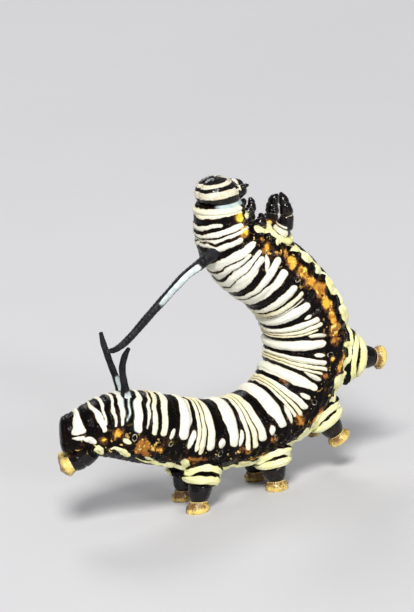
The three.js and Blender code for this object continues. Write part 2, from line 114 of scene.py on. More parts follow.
# Cream patches low on the sides, in the same terms
CREAM_PATCHES = [
    (1.38, 122, 0.36, 15, 0.0), (2.22, 120, 0.5, 7, -0.5), (2.45, 130, 0.45, 7, -0.4),
    (2.4, 102, 0.26, 5, -0.2), (3.25, 133, 0.3, 5, -0.3), (3.55, 145, 0.6, 7, -0.4),
    (3.88, 146, 0.62, 11, -0.3), (4.12, 136, 0.34, 12, -0.3), (4.45, 146, 1.1, 9, -0.4),
    (4.85, 150, 0.35, 9, -0.4), (5.2, 146, 0.55, 13, -0.3), (5.58, 138, 0.95, 9, -0.5),
    (5.93, 140, 0.24, 12, -0.3), (6.18, 134, 0.5, 14, 0.0), (6.5, 132, 0.62, 10, 0.0),
    (6.85, 137, 0.22, 12, 0.0), (7.15, 131, 0.52, 17, 0.0), (7.42, 134, 0.42, 12, 0.2),
    (7.72, 130, 0.2, 13, 0.2), (8.2, 134, 0.66, 15, 0.3), (8.7, 134, 0.75, 14, 0.3),
    (9.08, 136, 0.4, 13, 0.3), (9.45, 136, 0.55, 12, 0.4), (9.78, 138, 0.3, 12, 0.4),
    (10.4, 134, 0.32, 7, 0.3), (10.98, 142, 0.55, 12, 0.6), (11.4, 134, 0.62, 11, 0.5),
    (12.55, 136, 0.42, 14, 0.0),
]

# The cream ridge low on each side: place and angle as above, half width and lift in mm
RIDGE = [
    (2.9, 140, 0.0, 0.0), (3.3, 144, 0.14, 0.06), (3.75, 147, 0.26, 0.12), (4.2, 149, 0.26, 0.16),
    (4.5, 146, 0.31, 0.26), (4.85, 149, 0.26, 0.2), (5.15, 152, 0.22, 0.14), (5.45, 148, 0.3, 0.26),
    (5.75, 144, 0.3, 0.32), (6.05, 146, 0.2, 0.16), (6.3, 145, 0.26, 0.22), (6.62, 138, 0.28, 0.36),
    (6.95, 136, 0.2, 0.2), (7.2, 138, 0.24, 0.18), (7.5, 137, 0.26, 0.34), (7.78, 136, 0.3, 0.4),
    (8.05, 140, 0.2, 0.16), (8.4, 133, 0.24, 0.22), (8.72, 134, 0.05, 0.05), (8.95, 138, 0.16, 0.1),
    (9.15, 137, 0.05, 0.05), (9.5, 138, 0.18, 0.16), (9.85, 139, 0.04, 0.05), (10.25, 140, 0.0, 0.0),
]

# Orange and yellow spots, in the terms of the white ones, but the last value runs from 0 brown to 1 yellow
AMBER_SPOTS = [
    (1.57, 97, 0.2, 6, 0.8), (2.12, 88, 0.42, 9, 0.55), (2.92, 112, 0.7, 15, 0.1),
    (3.17, 110, 0.4, 6, 0.25), (3.37, 111, 0.4, 6, 0.4), (3.05, 122, 0.6, 6, 0.05),
    (4.25, 121, 0.7, 7, 0.1), (4.45, 131, 0.75, 5, 0.35), (4.66, 138, 0.5, 5, 0.2),
    (5.1, 110, 0.5, 6, 0.1), (5.42, 131, 1.2, 4, 0.4), (5.62, 106, 0.24, 6, 0.2),
    (6.18, 100, 0.3, 10, 0.2), (6.52, 121, 0.9, 5, 0.3), (6.6, 38, 0.3, 5, 0.05),
    (7.17, 91, 0.24, 7, 0.12), (7.53, 97, 0.24, 4, 0.6), (7.42, 116, 0.8, 7, 0.5),
    (7.87, 100, 0.3, 8, 0.2), (8.1, 103, 0.6, 10, 0.1), (8.36, 104, 0.75, 8, 0.5),
    (8.62, 104, 0.7, 8, 0.6), (8.9, 107, 0.6, 9, 0.2), (9.2, 104, 0.65, 9, 0.35), (9.5, 107, 0.7, 8, 0.6),
    (9.84, 110, 0.55, 9, 0.6), (10.1, 118, 0.45, 10, 0.3), (10.4, 112, 0.5, 5, 0.25),
    (10.8, 108, 0.3, 11, 0.45), (11.12, 117, 0.36, 5, 0.2), (11.95, 100, 0.5, 11, 1.0),
    (12.74, 104, 0.62, 13, 1.0),
]

# Breathing pores: segment, share of its length, angle from the back
SPIRACLES = [
    ("abdomen_8", 0.6, 96), ("abdomen_7", 0.55, 98), ("abdomen_6", 0.62, 108), ("abdomen_5", 0.64, 102),
    ("abdomen_4", 0.62, 96), ("abdomen_3", 0.62, 92), ("abdomen_2", 0.62, 88), ("abdomen_1", 0.55, 95),
    ("thorax_1", 0.3, 112),
]

# Head, feet, legs and filaments repeat the sizes of the solids they replace
HEAD_FORWARD = 1.5
HEAD_HALF_WIDTH = 1.95
HEAD_HALF_HEIGHT = 2.0
HEAD_CENTRE_AHEAD = 1.38
HEAD_NOD = 14
PROLEG_SPREAD = 1.45
PROLEG_FOOT_SPREAD = 1.9
PROLEG_ROOT_DEPTH = 1.5
# Place on the body, right and left foot along and up, whether it stands on the floor, stretch of its length,
# widening of the root
PROLEGS = {
    "abdomen_3": (7.5, (33.0, 9.05), (33.0, 9.05), False, 1.0, 0.4),
    "abdomen_4": (6.7, (28.1, 2.75), (28.1, 2.85), False, 1.0, 0.15),
    "abdomen_5": (5.68, (21.35, 0.0), (21.6, 0.0), True, 1.0, 0.1),
    "abdomen_6": (4.5, (13.3, 0.0), (14.2, 0.0), True, 1.14, 0.1),
}
PROLEG_ROOT = (1.4, 1.2)
FOOT_TOP = 0.84
PLATE_TOP = 1.92
# Distance above the sole in mm, half size along the body, half size across it
PROLEG_PROFILE = [
    (3.3, 1.75, 1.32), (2.95, 1.62, 1.3), (2.85, 1.62, 1.3), (2.7, 1.72, 1.42), (2.4, 1.72, 1.44),
    (2.15, 1.56, 1.3), (2.02, 1.2, 1.05), (1.95, 1.04, 0.95), (1.86, 1.05, 0.97), (1.5, 1.0, 0.94),
    (1.1, 0.89, 0.84), (0.92, 0.78, 0.74), (0.82, 0.72, 0.7), (0.7, 0.78, 0.74), (0.5, 0.94, 0.86),
    (0.3, 1.02, 0.92), (0.12, 1.02, 0.92), (0.0, 0.93, 0.85),
]
# Segment, path as ahead, towards the belly and outward, radii, how much further the left leg reaches
TRUE_LEGS = {
    "thorax_3": (
        10,
        [(-0.7, 2.0, 0.8), (-0.62, 3.5, 1.35), (-0.2, 4.5, 1.6),
         (0.6, 5.25, 1.6), (1.1, 5.7, 1.4), (1.42, 5.95, 1.25)],
        [0.8, 0.8, 0.6, 0.5, 0.36, 0.12],
        (-1.5, 0.2),
    ),
    "thorax_2": (
        11,
        [(-0.5, 1.5, 0.6), (-0.45, 2.5, 1.0), (-0.2, 2.85, 1.15),
         (0.0, 3.05, 1.1), (0.2, 3.15, 1.05), (0.38, 3.15, 1.0)],
        [0.62, 0.62, 0.5, 0.38, 0.27, 0.11],
        (-0.75, 0.35),
    ),
    "thorax_1": (
        12,
        [(-0.3, 1.1, 0.5), (-0.2, 1.9, 0.85), (0.1, 2.4, 1.0),
         (0.5, 2.65, 0.95), (0.8, 2.72, 0.85), (1.05, 2.7, 0.8)],
        [0.5, 0.54, 0.46, 0.36, 0.28, 0.14],
        (-0.5, 0.3),
    ),
}
ANAL_PROFILE = [0.95, 1.0, 0.95, 0.84, 0.72, 0.8, 0.5]
ANAL_PATH = [(1.85, 0.8), (1.5, 1.3), (1.02, 1.75), (0.45, 2.1), (0.02, 2.32), (-0.36, 2.5), (-0.74, 2.7)]
ANAL_SPREAD = 0.98
# Filaments: points ahead, left and up
FRONT_PATH = [
    (18.6, -1.15, 22.0), (17.2, -1.32, 21.55), (16.3, -1.45, 21.2), (14.73, -1.6, 20.62),
    (13.34, -1.75, 19.86), (11.94, -1.9, 19.0), (10.56, -2.05, 18.15), (9.27, -2.2, 17.35),
    (8.23, -2.3, 16.7), (7.32, -2.4, 16.25), (6.55, -2.45, 16.05), (6.0, -2.5, 16.1),
]
FRONT_RADII = [0.62, 0.56, 0.46, 0.4, 0.38, 0.36, 0.34, 0.32, 0.3, 0.28, 0.25, 0.17]
FRONT_DROP = (1.156, 0.663)
REAR_RIGHT_PATH = [
    (8.32, -0.45, 9.7), (8.3, -0.58, 10.75), (8.22, -0.65, 12.1), (8.13, -0.7, 13.1), (8.15, -0.75, 13.95),
    (8.42, -0.8, 14.7), (8.85, -0.9, 15.37),
]
REAR_RIGHT_RADII = [0.7, 0.55, 0.34, 0.3, 0.29, 0.27, 0.17]
REAR_LEFT_PATH = [
    (8.7, 1.1, 9.7), (8.88, 1.25, 10.85), (8.78, 1.3, 11.55), (8.58, 1.38, 12.4), (8.4, 1.5, 13.2),
    (8.19, 1.65, 14.27), (7.98, 1.8, 15.36), (7.89, 1.9, 16.4),
]
REAR_LEFT_RADII = [0.7, 0.52, 0.38, 0.31, 0.29, 0.28, 0.26, 0.17]

SPOT_BLEND = 0.15
SPOT_REACH = 1.2
STRIPE_END_RADIUS = 0.45
# Degrees from the back where a stripe's edges leave their upper place, reach the side and the low side
BACK_EDGE = 8
SIDE_EDGE = 50
LOW_EDGE = 82
OUTSIDE = -9.0
HANDS = ((1, "right"), (-1, "left"))

rng = np.random.default_rng(SEED)


# Small numeric helpers
def bell(x, width):
    return np.exp(-((x / width) ** 2))


def smooth(low, high, x):
    """Goes from 0 at low to 1 at high, and low may be the larger."""
    t = np.clip((x - low) / (high - low), 0.0, 1.0)
    return t * t * (3 - 2 * t)


def unit(v):
    return v / np.maximum(np.linalg.norm(v, axis=-1, keepdims=True), 1e-12)


def blend(a, along_a, b, along_b):
    """Grids of amounts along two directions."""
    return a * along_a[..., None] + b * along_b[..., None]


def turns(count):
    """Angles once round a ring."""
    return np.linspace(0, 2 * math.pi, count, endpoint=False)


def hermite(u, a, slope_a, b, slope_b):
    start = (2 * u**3 - 3 * u**2 + 1) * a + (u**3 - 2 * u**2 + u) * slope_a
    return start + (-2 * u**3 + 3 * u**2) * b + (u**3 - u**2) * slope_b


class Waves:
    """Smooth noise made of seeded waves, for wobbling edges and soft relief."""

    def __init__(self, scale, count=9):
        direction = unit(rng.normal(size=(count, 3)))
        self.k = direction * rng.uniform(0.6, 1.7, size=(count, 1)) * (2 * math.pi / scale)
        self.phase = rng.uniform(0, 2 * math.pi, size=count)

    def __call__(self, points):
        total = np.zeros(points.shape[:-1])
        for k, phase in zip(self.k, self.phase):
            total += np.sin(points @ k + phase)
        return total / math.sqrt(len(self.phase))


# The axis of the body
def directions(heading, yaw):
    forward = np.stack([np.cos(heading) * np.cos(yaw), -np.sin(yaw), np.sin(heading) * np.cos(yaw)], -1)
    back = np.stack([-np.sin(heading), 0 * heading, np.cos(heading)], -1)
    return forward, back, np.cross(forward, back)


def build_axis():
    heading = math.radians(ANCHOR_HEADING) - BENDS[:ANCHOR_JOINT].sum()
    yaw = -YAWS.sum()
    points, headings, yaws = [np.zeros(3)], [heading], [yaw]
    for length, bend, turn in zip(LENGTHS, BENDS, YAWS):
        for _ in range(STEPS):
            forward = directions(np.array(heading + bend / STEPS / 2), np.array(yaw + turn / STEPS / 2))[0]
            points.append(points[-1] + forward * length / STEPS)
            heading += bend / STEPS
            yaw += turn / STEPS
            headings.append(heading)
            yaws.append(yaw)
    points = np.array(points)
    points += np.array([ANCHOR_X, 0, GROUND_TO_AXIS]) - points[ANCHOR_JOINT * STEPS]
    return points, np.array(headings), np.array(yaws)


AXIS_POINTS, AXIS_HEADINGS, AXIS_YAWS = build_axis()
AXIS_PLACES = np.linspace(0, COUNT, COUNT * STEPS + 1)


def station(place):
    place = np.clip(np.asarray(place, float), 0, COUNT)
    point = np.stack([np.interp(place, AXIS_PLACES, AXIS_POINTS[:, i]) for i in range(3)], -1)
    heading = np.interp(place, AXIS_PLACES, AXIS_HEADINGS)
    yaw = np.interp(place, AXIS_PLACES, AXIS_YAWS)
    return (point, *directions(heading, yaw))


def radius_at(place):
    place = np.clip(place, 0, COUNT)
    low = np.clip(np.floor(place).astype(int), 0, COUNT - 1)
    t = place - low
    value = [RADII[np.clip(low + i, 0, COUNT)] for i in (-1, 0, 1, 2)]
    return hermite(t, value[1], (value[2] - value[0]) / 2, value[2], (value[3] - value[1]) / 2)


def fold_factor(share):
    joints = bell(share, 0.07) + bell(1 - share, 0.07)
    annulets = bell(share - 0.36, 0.05) + bell(share - 0.66, 0.05)
    return 1.015 - 0.055 * joints - 0.02 * annulets


def section_factor(angle):
    from_back = np.abs(np.arctan2(np.sin(angle), np.cos(angle)))
    return 1 - 0.07 * bell(from_back - math.pi, 0.75) + 0.035 * bell(from_back - math.radians(122), 0.3)


# The colour pattern, as distances in mm inside the edge of each kind of mark
wobble = Waves(1.3)
fine_wobble = Waves(0.45)


def stripe_distance(place, angle, radius, metre):
    """Largest distance inside any pale stripe. place is in segments from the tail, angle from the back."""
    best = np.full(place.shape, OUTSIDE)
    for index, *edges, end in STRIPES:
        near = (place > index - 0.5) & (place < index + 2.0)
        a = np.degrees(angle[near])
        t_low = smooth(SIDE_EDGE, LOW_EDGE, a)
        t_top = 1 - smooth(BACK_EDGE, SIDE_EDGE, a)
        rear, front = (
            middle + (low - middle) * t_low + (top - middle) * t_top
            for top, middle, low in (edges[0::2], edges[1::2])
        )
        half = (front - rear) / 2 * metre[near]
        across = (place[near] - (index + (rear + front) / 2)) * metre[near]
        reach = np.minimum(half, STRIPE_END_RADIUS)
        past = np.maximum(0, np.radians(a - end) * radius[near] + reach)
        side = np.abs(across) - (half - reach)
        d = reach - np.sqrt(np.maximum(side, 0) ** 2 + past**2)
        d = np.where((side < 0) & (past <= 0), np.maximum(d, half - np.abs(across)), d)
        best[near] = np.maximum(best[near], d)
    return best


def spot_distance(place, angle, radius, metre, spots):
    """Largest distance inside any spot of a table, and the last values blended by nearness."""
    best = np.full(place.shape, OUTSIDE)
    extra = np.zeros(place.shape)
    total = np.full(place.shape, 1e-12)
    for middle, degrees, half_long, half_high, last in spots:
        near = np.abs(place - middle) < SPOT_REACH
        x = (place[near] - middle) * metre[near]
        y = (angle[near] - math.radians(degrees)) * radius[near]
        high = math.radians(half_high) * radius[near]
        if spots is not AMBER_SPOTS:
            x = x + last * y / high
        scale = np.minimum(half_long, high)
        d = (1 - np.sqrt((x / half_long) ** 2 + (y / high) ** 2)) * scale
        best[near] = np.maximum(best[near], d)
        weight = np.exp(np.clip(d / SPOT_BLEND, -30, 10))
        extra[near] += weight * last
        total[near] += weight
    return best, extra / total


# Meshes
ROD_TIP = 0.45


def add_object(name, data):
    obj = bpy.data.objects.new(name, data)
    bpy.context.scene.collection.objects.link(obj)
    return obj


def new_object(name, verts, faces, material):
    """Smooth object from points in mm and arrays of faces, each array with one number of corners."""
    mesh = bpy.data.meshes.new(name)
    mesh.vertices.add(len(verts))
    placed = (np.asarray(verts) - np.array([ORIGIN_X, 0, 0])) * MM
    mesh.vertices.foreach_set("co", placed.astype(np.float32).ravel())
    loops = np.concatenate([f.ravel() for f in faces]).astype(np.int32)
    totals = np.concatenate([np.full(*f.shape) for f in faces]).astype(np.int32)
    mesh.loops.add(len(loops))
    mesh.loops.foreach_set("vertex_index", loops)
    mesh.polygons.add(len(totals))
    mesh.polygons.foreach_set("loop_start", np.cumsum(totals, dtype=np.int32) - totals)
    mesh.polygons.foreach_set("loop_total", totals)
    mesh.update(calc_edges=True)
    mesh.validate()
    mesh.polygons.foreach_set("use_smooth", np.ones(len(totals), dtype=bool))
    mesh.materials.append(material)
    return add_object(name, mesh)


def set_values(obj, **values):
    for name, array in values.items():
        layer = obj.data.attributes.new(name, "FLOAT", "POINT")
        layer.data.foreach_set("value", np.asarray(array, dtype=np.float32).ravel())


def set_marks(obj, **given):
    """Values for the skin's material on a piece that has few of the body's marks or none."""
    plain = {"pale": -1.0, "low": -1.0, "amber": -1.0, "warm": 0.0, "tint": 0.0, "mottle": 0.4, "blue": 0.0}
    count = len(obj.data.vertices)
    set_values(obj, **{**{key: np.full(count, value) for key, value in plain.items()}, **given})


def grid_faces(rows, around, closed_rows=False):
    r = np.arange(rows if closed_rows else rows - 1)
    i = np.arange(around)
    a = (r[:, None] * around + i[None]).ravel()
    b = (r[:, None] * around + (i[None] + 1) % around).ravel()
    step = ((r[:, None] + 1) % rows) * around
    c = (step + (i[None] + 1) % around).ravel()
    d = (step + i[None]).ravel()
    return np.stack([a, b, c, d], -1)


def tube_faces(rows, around):
    """Quads of an open tube plus a fan at each end, whose centre points come after the rings."""
    quads = grid_faces(rows, around)
    i = np.arange(around)
    j = (i + 1) % around
    last = (rows - 1) * around
    first_fan = np.stack([np.full(around, rows * around), j, i], -1)
    last_fan = np.stack([np.full(around, rows * around + 1), last + i, last + j], -1)
    return quads, np.concatenate([first_fan, last_fan])


def tube_object(name, grid, caps, material, inside_out=False):
    """Object of rings of points, closed by a centre point at each end."""
    quads, fans = tube_faces(*grid.shape[:2])
    if inside_out:
        quads, fans = quads[:, ::-1], fans[:, ::-1]
    return new_object(name, np.concatenate([grid.reshape(-1, 3), caps]), [quads, fans], material)


def resample(path, radii, count):
    """Smooth curve through the points, with its radii, at equal steps."""
    path = np.asarray(path, float)
    values = np.column_stack([path, radii])
    knots = np.concatenate([[0], np.cumsum(np.linalg.norm(np.diff(path, axis=0), axis=1))])
    t = np.linspace(0, knots[-1], count)
    low = np.clip(np.searchsorted(knots, t, side="right") - 1, 0, len(knots) - 2)
    width = (knots[low + 1] - knots[low])[:, None]
    u = ((t - knots[low]) / width[:, 0])[:, None]
    slopes = np.gradient(values, knots, axis=0)
    out = hermite(u, values[low], slopes[low] * width, values[low + 1], slopes[low + 1] * width)
    return out[:, :3], out[:, 3], t / knots[-1]


def rod_frames(points, across):
    along = unit(np.gradient(points, axis=0))
    right = unit(np.cross(along, across))
    up = unit(np.cross(right, along))
    return along, right, up


def rod(name, path, radii, rows, around, across, shape, material):
    """Tube along a smooth path, with each point's share along it and angle. shape multiplies the radius."""
    points, sizes, u = resample(path, radii, rows)
    along, right, up = rod_frames(points, np.asarray(across, float))
    uu, aa = np.meshgrid(u, turns(around), indexing="ij")
    reach = sizes[:, None] * shape(uu, aa)
    grid = points[:, None] + blend(right[:, None], reach * np.cos(aa), up[:, None], reach * np.sin(aa))
    caps = np.array([points[0], points[-1] + along[-1] * sizes[-1] * ROD_TIP])
    obj = tube_object(name, grid, caps, material)
    return obj, np.append(uu.ravel(), [0, 1]), np.append(aa.ravel(), [0, 0])


# Materials
class Nodes:
    """Short forms for building a node tree."""

    def __init__(self, name):
        self.material = bpy.data.materials.new(name)
        self.material.use_nodes = True
        self.tree = self.material.node_tree
        self.tree.nodes.clear()
        self.output = self.tree.nodes.new("ShaderNodeOutputMaterial")
        self.shader = self.tree.nodes.new("ShaderNodeBsdfPrincipled")
        self.link(self.shader.outputs[0], self.output.inputs[0])
        self.place = self.tree.nodes.new("ShaderNodeTexCoord").outputs["Object"]

    def link(self, source, socket):
        self.tree.links.new(source, socket)

    def put(self, socket, value):
        if isinstance(value, bpy.types.NodeSocket):
            self.link(value, socket)
        else:
            socket.default_value = value

    def fill(self, node, **given):
        """Puts values or links on sockets named with underscores for spaces."""
        for key, item in given.items():
            self.put(node.inputs[key.replace("_", " ")], item)
        return node.outputs

    def value(self, name):
        node = self.tree.nodes.new("ShaderNodeAttribute")
        node.attribute_name = name
        return node.outputs["Fac"]

    def noise(self, scale, detail=3.0, rough=0.55):
        node = self.tree.nodes.new("ShaderNodeTexNoise")
        return self.fill(node, Scale=scale, Detail=detail, Roughness=rough, Vector=self.place)["Fac"]

    def cells(self, scale):
        node = self.tree.nodes.new("ShaderNodeTexVoronoi")
        return self.fill(node, Scale=scale, Vector=self.place)["Distance"]

    def math(self, kind, a, b):
        node = self.tree.nodes.new("ShaderNodeMath")
        node.operation = kind
        for socket, item in zip(node.inputs, (a, b)):
            self.put(socket, item)
        return node.outputs[0]

    def times(self, a, b):
        return self.math("MULTIPLY", a, b)

    def shifted(self, value, noise, amount, middle=0.5):
        """The value, moved by the noise about its middle times the amount."""
        return self.math("ADD", value, self.times(self.math("SUBTRACT", noise, middle), amount))

    def step(self, value, low, high, start=0.0, end=1.0):
        node = self.tree.nodes.new("ShaderNodeMapRange")
        node.interpolation_type = "SMOOTHSTEP"
        return self.fill(node, Value=value, From_Min=low, From_Max=high, To_Min=start, To_Max=end)["Result"]

    def mix(self, factor, a, b):
        node = self.tree.nodes.new("ShaderNodeMix")
        node.data_type = "RGBA"
        for key, item in (("Factor", factor), ("A", a), ("B", b)):
            socket = [s for s in node.inputs if s.name == key and s.enabled][0]
            self.put(socket, item if isinstance(item, (float, bpy.types.NodeSocket)) else (*item, 1.0))
        return [s for s in node.outputs if s.enabled][0]

    def bump(self, height, distance, strength, **earlier):
        node = self.tree.nodes.new("ShaderNodeBump")
        return self.fill(node, Strength=strength, Distance=distance, Height=height, **earlier)["Normal"]

    def finish(self, colour, rough, normal, **fixed):
        self.fill(self.shader, Base_Color=colour, Roughness=rough, Normal=normal, **fixed)
        return self.material


WHITE = (0.838, 0.836, 0.738)
CREAM = (0.82, 0.76, 0.5)
CREAM_LOW = (0.8, 0.77, 0.36)
ORANGE = (0.76, 0.38, 0.045)
YELLOW = (0.92, 0.66, 0.05)
BROWN = (0.11, 0.045, 0.016)
BLACK = (0.0025, 0.0016, 0.0014)
MAROON = (0.015, 0.005, 0.003)
FLECK = (0.74, 0.5, 0.14)
RUST = (0.27, 0.1, 0.025)
PALE_BLUE = (0.55, 0.68, 0.68)


def skin_material():
    n = Nodes("banded_skin")
    edge_noise = n.noise(2600, 3)
    pale_distance = n.shifted(n.value("pale"), edge_noise, 0.11)
    low_distance = n.shifted(n.value("low"), edge_noise, 0.121)
    broken = n.math("SUBTRACT", 1.9, n.times(n.value("warm"), 1.3))
    amber_distance = n.shifted(n.value("amber"), n.noise(1700, 5, 0.72), broken, 0.55)
    dark = n.mix(n.step(n.noise(900, 4), 0.55, 0.8), BLACK, MAROON)
    rim = n.times(n.step(pale_distance, -0.13, 0.0), n.step(n.noise(700), 0.42, 0.62))
    colour = n.mix(n.times(rim, 0.4), dark, BROWN)
    mottle = n.times(n.value("mottle"), n.step(n.noise(1100, 4, 0.65), 0.56, 0.68))
    colour = n.mix(n.times(mottle, 0.5), colour, BROWN)
    flecks = n.times(n.value("mottle"), n.step(n.noise(2100, 3), 0.635, 0.665))
    colour = n.mix(flecks, colour, FLECK)
    halo = n.times(n.step(amber_distance, -0.2, 0.0), 0.8)
    colour = n.mix(halo, colour, BROWN)
    warm = n.mix(n.step(n.value("warm"), 0.4, 0.95), ORANGE, YELLOW)
    warm = n.mix(n.step(n.value("warm"), 0.4, 0.0), warm, RUST)
    warm = n.mix(n.step(n.noise(1900, 4), 0.47, 0.63), warm, (0.36, 0.14, 0.02))
    warm = n.mix(n.step(n.noise(2300, 3), 0.55, 0.62), warm, (0.93, 0.68, 0.16))
    colour = n.mix(n.step(amber_distance, -0.04, 0.03), colour, (0.26, 0.1, 0.022))
    colour = n.mix(n.step(amber_distance, 0.03, 0.11), colour, warm)
    low_colour = n.mix(n.step(n.noise(800), 0.35, 0.65), CREAM_LOW, (0.85, 0.84, 0.52))
    colour = n.mix(n.step(low_distance, -0.05, 0.0), colour, low_colour)
    blotch = n.step(n.noise(420, 4), 0.4, 0.66)
    tint = n.math("MAXIMUM", n.value("tint"), n.times(blotch, 0.22))
    pale = n.mix(tint, WHITE, CREAM)
    pale = n.mix(n.times(n.step(pale_distance, 0.12, 0.0), 0.35), pale, (0.5, 0.42, 0.24))
    colour = n.mix(n.step(pale_distance, -0.015, 0.025), colour, pale)
    bluish = n.times(n.value("blue"), n.step(n.noise(1500, 3), 0.25, 0.6, 0.7, 1.0))
    colour = n.mix(bluish, colour, PALE_BLUE)
    pale_mask = n.step(pale_distance, -0.02, 0.03)
    rough = n.math("ADD", n.times(pale_mask, 0.12), n.step(n.noise(2200, 2), 0.3, 0.7, 0.22, 0.36))
    wrinkles = n.bump(n.noise(3400, 4, 0.6), 0.00004, 0.45)
    normal = n.bump(n.cells(5200), 0.00003, 0.3, Normal=wrinkles)
    return n.finish(colour, rough, normal, Coat_Weight=0.05, Coat_Roughness=0.05, Specular_IOR_Level=0.06,
                    Subsurface_Weight=0.05, Subsurface_Radius=(0.6, 0.35, 0.2), Subsurface_Scale=0.0006)


def horn_material():
    n = Nodes("black_horn")
    dark = n.mix(n.step(n.noise(1300, 4), 0.48, 0.72), BLACK, MAROON)
    pale = n.mix(n.step(n.noise(1800, 3), 0.35, 0.7), (0.8, 0.76, 0.62), (0.66, 0.56, 0.36))
    mask = n.step(n.shifted(n.value("pale"), n.noise(2600), 0.12), -0.02, 0.03)
    colour = n.mix(mask, dark, pale)
    rough = n.math("ADD", n.step(n.noise(1900, 3), 0.3, 0.7, 0.12, 0.3), n.times(mask, 0.15))
    pits = n.math("ADD", n.cells(3600), n.times(n.noise(5200, 3), 0.5))
    normal = n.bump(pits, 0.00004, 0.4)
    return n.finish(colour, rough, normal, Coat_Weight=0.45, Coat_Roughness=0.04, Specular_IOR_Level=0.15)


def filament_material():
    n = Nodes("filament_skin")
    dark = n.mix(n.step(n.noise(1500, 3), 0.4, 0.7), (0.006, 0.006, 0.007), (0.02, 0.02, 0.023))
    # The pale line on each filament is a painted highlight: a bluish-white reflection painted along one
    # side, its strength fading towards its end.
    streak = n.step(n.shifted(n.value("streak"), n.noise(2400), 0.5), 0.46, 0.66)
    pale = n.mix(n.step(n.noise(2000, 3), 0.3, 0.7), (0.78, 0.85, 0.83), (0.52, 0.62, 0.62))
    colour = n.mix(n.times(streak, n.value("paleness")), dark, pale)
    rough = n.step(n.noise(2300, 3), 0.3, 0.7, 0.34, 0.5)
    normal = n.bump(n.noise(4200, 4), 0.00006, 0.6)
    return n.finish(colour, rough, normal, Coat_Weight=0.05, Coat_Roughness=0.3, Specular_IOR_Level=0.14)


def foot_material():
    n = Nodes("foot_skin")
    rust = n.shifted(n.value("rust"), n.noise(1500, 4, 0.65), 1.6)
    colour = n.mix(n.step(rust, 0.32, 0.8), (0.78, 0.58, 0.15), (0.22, 0.1, 0.02))
    colour = n.mix(n.step(n.noise(3400, 2), 0.6, 0.75), colour, (0.84, 0.78, 0.5))
    rough = n.step(n.noise(2600, 2), 0.3, 0.7, 0.26, 0.45)
    normal = n.bump(n.noise(4400, 4, 0.65), 0.00008, 0.7)
    return n.finish(colour, rough, normal, Coat_Weight=0.2, Coat_Roughness=0.2, Subsurface_Weight=0.1,
                    Subsurface_Radius=(0.8, 0.5, 0.2), Subsurface_Scale=0.0005)


def hook_material():
    n = Nodes("hook_horn")
    colour = n.mix(n.step(n.noise(2600, 2), 0.42, 0.56), (0.02, 0.01, 0.006), (0.5, 0.4, 0.2))
    return n.finish(colour, n.step(n.noise(3000), 0.3, 0.7, 0.2, 0.35), n.bump(n.noise(6000), 0.00001, 0.3))


def hair_material():
    n = Nodes("hair")
    colour = n.mix(n.noise(900, 2), (0.35, 0.3, 0.2), (0.03, 0.022, 0.018))
    return n.finish(colour, n.step(n.noise(3000), 0.3, 0.7, 0.35, 0.5), n.bump(n.noise(6000), 0.00001, 0.3))


def floor_material():
    n = Nodes("studio_floor")
    colour = n.mix(n.step(n.noise(14, 3), 0.3, 0.7), (0.615, 0.612, 0.625), (0.635, 0.632, 0.645))
    return n.finish(colour, n.step(n.noise(60), 0.3, 0.7, 0.6, 0.7), n.bump(n.noise(900, 2), 0.00002, 0.2))


SKIN = skin_material()
HORN = horn_material()
FILAMENT = filament_material()
FOOT = foot_material()
HAIR = hair_material()
HOOK = hook_material()


# The body skin
AROUND = 232
PER_MM = 21
TAIL_ROWS = 14
NECK_ROWS = 24
TAIL_CAP = 0.42
TAIL_ROUNDING = 0.55
NECK_LENGTH = 0.75
PLEAT_LIFT = 0.1
WHITE_LIFT = 0.07


def body_surface(place, angle):
    """Point and outward direction of the plain skin."""
    point, _, back, side = station(place)
    share = np.clip(place, 0, COUNT - 1e-6) % 1.0
    reach = radius_at(place) * fold_factor(share) * section_factor(angle)
    out = blend(back, np.cos(angle), side, np.sin(angle))
    return point + out * reach[..., None], out


def skin_places():
    rows = [np.array([0.0])]
    for index, length in enumerate(LENGTHS):
        steps = int(length * PER_MM)
        rows.append(index + np.arange(1, steps + 1) / steps)
    return np.concatenate(rows)


def ridge_distance(place, angle, radius):
    """Distance inside the low cream ridge, and its lift."""
    places, *columns = np.array(RIDGE).T
    degrees, half, lift = (np.interp(place, places, column) for column in columns)
    off = (angle - np.radians(degrees)) * radius
    distance = np.where(half > 0.02, half - np.abs(off), OUTSIDE)
    return distance, lift * bell(off / np.maximum(half, 0.1), 1.1)


def skin_fields(place, angle, points):
    """Distances for the colour pattern at places on the body, slightly different on the two sides."""
    handed = np.where(angle < 0, 1.0, 0.0)
    radius = radius_at(place)
    metre = np.interp(place, np.arange(COUNT) + 0.5, LENGTHS)
    shift = 0.03 * wobble(points) + 0.008 * fine_wobble(points)
    shift += 0.06 * handed * wobble(points[..., ::-1] + 11)
    warped = place + shift / metre
    turned = 0.03 * wobble(points + 5.0) + 0.05 * handed * wobble(points - 9.0)
    bent = np.abs(angle) + turned
    stripes = stripe_distance(warped, bent, radius, metre)
    spots, _ = spot_distance(warped, bent, radius, metre, WHITE_SPOTS)
    low, _ = spot_distance(warped, bent, radius, metre, CREAM_PATCHES)
    amber, warm = spot_distance(warped, bent, radius, metre, AMBER_SPOTS)
    ridge, lift = ridge_distance(warped, np.abs(angle) + 0.6 * turned, radius)
    return stripes, spots, np.maximum(low, ridge), amber, warm, lift


